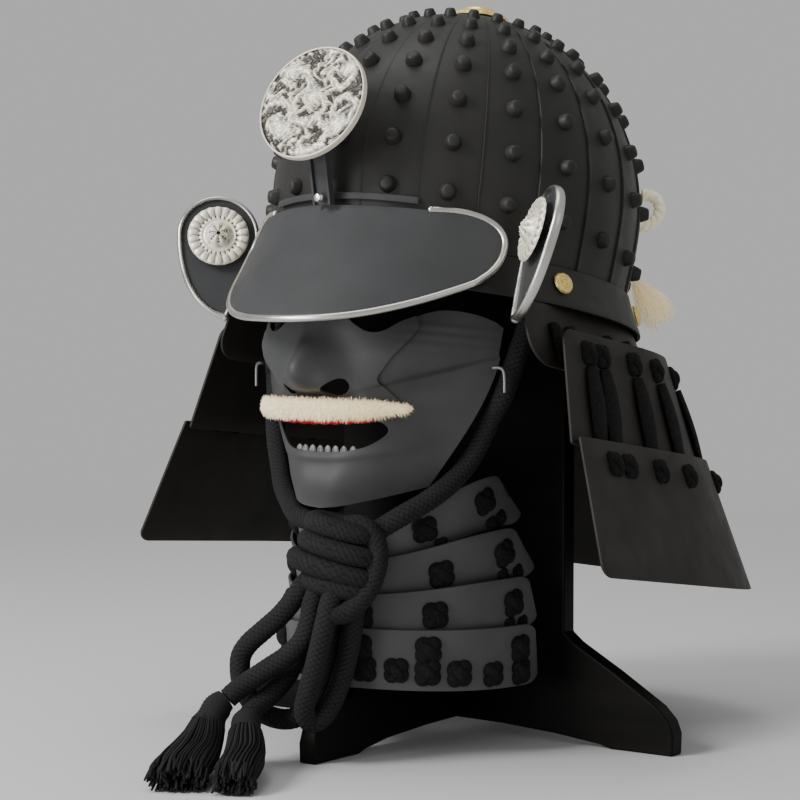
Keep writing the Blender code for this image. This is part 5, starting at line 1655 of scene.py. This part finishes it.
THROAT_KNOTS = {
    # share from the free edge, height share, size of each cross knot and each low lump
    "throat_lame_1": ((0.078, 0.56, 0.0120), (0.250, 0.51, 0.0120), (0.420, 0.51, 0.0120),
                      (0.047, 0.17, 0.0070), (0.078, 0.09, 0.0070), (0.215, 0.02, 0.0070)),
    "throat_lame_2": ((0.057, 0.53, 0.0125), (0.222, 0.38, 0.0125), (0.420, 0.45, 0.0120),
                      (0.035, 0.12, 0.0070), (0.075, 0.09, 0.0070)),
    "throat_lame_3": ((0.050, 0.50, 0.0125), (0.242, 0.43, 0.0125), (0.420, 0.45, 0.0120),
                      (0.032, 0.08, 0.0070), (0.065, 0.08, 0.0070)),
    "throat_lame_4": ((0.040, 0.62, 0.0125), (0.260, 0.68, 0.0125), (0.420, 0.68, 0.0125),
                      (0.040, 0.24, 0.0125), (0.110, 0.25, 0.0115), (0.190, 0.29, 0.0125),
                      (0.262, 0.31, 0.0125), (0.333, 0.33, 0.0115), (0.410, 0.33, 0.0120),
                      (0.500, 0.33, 0.0120)),
}


def make_throat_guard():
    shares = crowded_shares(70, 0.045)
    laces = []
    for name, knots in THROAT_KNOTS.items():
        place = throat_place(name)
        lame_piece(name, place, shares, THROAT_WALL, "throat")
        for share, level, size in knots:
            laces += [knot_on(place, one, level, size) for one in {share, 1.0 - share}]
    add_piece("throat_laces", mesh_of("throat_laces", joined(laces)), "lace", (), 80.0)


# ---------------------------------------------------------------- cream cord behind

RING_SINK = 0.0030          # its ends over the bowl's middle surface
RING_REACH = 0.0050
RING_STEPS = 12


def make_back_ring():
    surface = bowl_point(RING_ANGLE, RING_HEIGHT)
    out = bowl_normal(RING_ANGLE, RING_HEIGHT)
    up = Vector((0.0, 0.0, 1.0))
    stops = [surface + out * RING_SINK + up * RING_RADIUS]
    for i in range(RING_STEPS + 1):
        turn = math.pi * (0.5 - i / RING_STEPS)
        reach = RING_REACH + RING_RADIUS * math.cos(turn)
        stops.append(surface + out * reach + up * (RING_RADIUS * math.sin(turn)))
    stops.append(surface + out * RING_SINK - up * RING_RADIUS)

    def twisted(turn, distance):
        return RING_CORD_RADIUS * (0.80 + 0.20 * abs(math.sin(1.5 * turn + distance * 620.0)))

    mesh = mesh_of("ring", swept(smooth_route(stops, 0.0005), 24, twisted), HELMET)
    add_piece("cream_ring", mesh, "hair", ("back_cord_ring",), 60.0)


FRINGE_STRANDS = 420
FRINGE_STRAY = 0.0022
FRINGE_WIDE = 1.2           # across the bowl, as a share of its depth


def fringe_strand(rng):
    turn = rng.uniform(0.0, math.tau)
    share = math.sqrt(rng.random())
    stray = Vector((rng.gauss(0.0, 1.0), rng.gauss(0.0, 1.0), rng.gauss(0.0, 1.0))) * FRINGE_STRAY
    scale = dome_scale(0.04)
    strand = []
    for i, (height, distance, radius) in enumerate(FRINGE_SECTIONS):
        spread = radius * share * (1.0 if i < 2 else 1.25)
        centre = bowl_point(FRINGE_ANGLE, height, distance + spread * math.sin(turn), scale=scale)
        along = bowl_point(FRINGE_ANGLE + 0.01, height) - bowl_point(FRINGE_ANGLE - 0.01, height)
        aside = along.normalized() * (FRINGE_WIDE * spread * math.cos(turn))
        strand.append(centre + aside + stray * (0.4 * i))
    if rng.random() < 0.4:
        strand = strand[:-1]
    return swept(smooth_route(strand, 0.004), 4, rng.uniform(0.00010, 0.00022))


def make_back_fringe():
    rng = random.Random(31)
    mesh = mesh_of("fringe", joined([fringe_strand(rng) for _ in range(FRINGE_STRANDS)]), HELMET)
    add_piece("cream_fringe", mesh, "hair", ("back_cord_fringe",), 80.0)


# ---------------------------------------------------------------- stand

PLANK_SHOULDER = 0.300      # where the plank's straight sides end
PLANK_STEPS = 40
BOARD_ROUND = 0.0012


def plank_outline():
    """Outline of the upright board: a foot, straight sides and a half-round top."""
    half = [*FOOT_PROFILE, (PLANK_HALF, PLANK_SHOULDER)]
    for i in range(PLANK_STEPS):
        turn = math.pi / 2.0 * i / PLANK_STEPS
        level = PLANK_SPRING + (PLANK_TOP - PLANK_SPRING) * math.sin(turn)
        half.append((PLANK_HALF_TOP * math.cos(turn), level))
    half.append((0.0, PLANK_TOP))
    return [*half, *((-x, z) for x, z in reversed(half[1:-1]))]


def make_stand():
    upright = Matrix.Translation((0.0, PLANK_Y, 0.0))
    for name, profile, turn in (
        ("stand_plank", plank_outline(), 0.0), ("stand_foot_front", CROSS_PROFILE, -math.pi / 2.0),
        ("stand_foot_back", CROSS_PROFILE, math.pi / 2.0),
    ):
        matrix = MODEL @ upright @ Euler((math.pi / 2.0, 0.0, turn)).to_matrix().to_4x4()
        mesh = mesh_of(name, board_shape(profile, BOARD), matrix)
        rounded(add_piece(f"{name}_board", mesh, "wood", (name,), 30.0), BOARD_ROUND, 3)


# ---------------------------------------------------------------- floor and light

def area_light(name, place, target, size, power):
    data = bpy.data.lights.new(name, "AREA")
    data.shape = "DISK"
    data.size = size
    data.energy = power
    light = bpy.data.objects.new(name, data)
    light.location = place
    light.rotation_euler = (Vector(target) - Vector(place)).to_track_quat("-Z", "Y").to_euler()
    bpy.context.scene.collection.objects.link(light)


BACKGROUND = (0.500, 0.498, 0.495)
FLOOR_HALF = 9.0
FLOOR_FADE = (0.35, 2.2)    # from here to there the floor turns into the background
LIGHTS = {
    # place, target, size, power
    "key": ((-0.7, -1.7, 1.35), (0.0, 0.0, 0.25), 0.8, 40.0),
    "fill": ((-0.3, -1.6, 0.25), (0.0, 0.0, 0.20), 0.7, 9.0),
    "side": ((2.0, -0.6, 1.1), (0.0, 0.0, 0.25), 1.2, 2.5),
    "top": ((-0.3, -0.2, 2.2), (0.0, 0.0, 0.30), 1.2, 12.0),
}


def floor_material():
    """Plain paint that far out turns into the background, so that no horizon shows."""
    paint = new_material("floor_paint", (0.60, 0.60, 0.60), 0.75)
    tree = paint.node_tree
    start, end = FLOOR_FADE
    place = add_node(tree, "ShaderNodeTexCoord")
    away = add_node(tree, "ShaderNodeVectorMath")
    away.operation = "LENGTH"
    fade = add_node(tree, "ShaderNodeMapRange", {"From Min": start, "From Max": end})
    fade.interpolation_type = "SMOOTHSTEP"
    glow = add_node(tree, "ShaderNodeEmission", {"Color": (*BACKGROUND, 1.0)})
    mix = add_node(tree, "ShaderNodeMixShader")
    tree.links.new(place.outputs["Object"], away.inputs[0])
    tree.links.new(away.outputs["Value"], fade.inputs["Value"])
    tree.links.new(fade.outputs["Result"], mix.inputs["Fac"])
    tree.links.new(tree.nodes["Principled BSDF"].outputs["BSDF"], mix.inputs[1])
    tree.links.new(glow.outputs["Emission"], mix.inputs[2])
    tree.links.new(mix.outputs["Shader"], tree.nodes["Material Output"].inputs["Surface"])
    return paint


def make_studio():
    mesh = bpy.data.meshes.new("floor")
    far = FLOOR_HALF
    corners = [(-far, -far, 0.0), (far, -far, 0.0), (far, far, 0.0), (-far, far, 0.0)]
    mesh.from_pydata(corners, [], [(0, 1, 2, 3)])
    floor = bpy.data.objects.new("floor", mesh)
    mesh.materials.append(floor_material())
    bpy.context.scene.collection.objects.link(floor)

    world = bpy.data.worlds.new("studio")
    world.use_nodes = True
    sky = world.node_tree.nodes["Background"]
    sky.inputs["Color"].default_value = (*BACKGROUND, 1.0)
    sky.inputs["Strength"].default_value = 1.0
    bpy.context.scene.world = world
    for name, light in LIGHTS.items():
        area_light(name, *light)


# ---------------------------------------------------------------- the whole

def paint_kept_nodes():
    """CAD nodes whose shape is right keep it and take a finer material."""
    for name, finish in (
        ("crest_prong", "visor"), ("crest_pin", "silver"),
        ("rosette_post_left", "visor"), ("rosette_post_right", "visor"),
    ):
        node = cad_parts[name]
        node.data.materials.clear()
        node.data.materials.append(MATERIALS[finish])


def main():
    make_camera()
    make_cords()
    make_studio()
    make_bowl()
    make_rivets()
    make_brow_band()
    make_studs()
    make_crown_fitting()
    make_visor()
    make_mount_strip()
    make_disc()
    for side, name in ((1.0, "left"), (-1.0, "right")):
        make_turnback(side, name)
        make_hook(side, name)
    make_neck_guard()
    make_mask()
    make_nose()
    make_moustache()
    make_felt()
    make_teeth()
    make_throat_guard()
    make_back_ring()
    make_back_fringe()
    make_stand()
    paint_kept_nodes()


main()
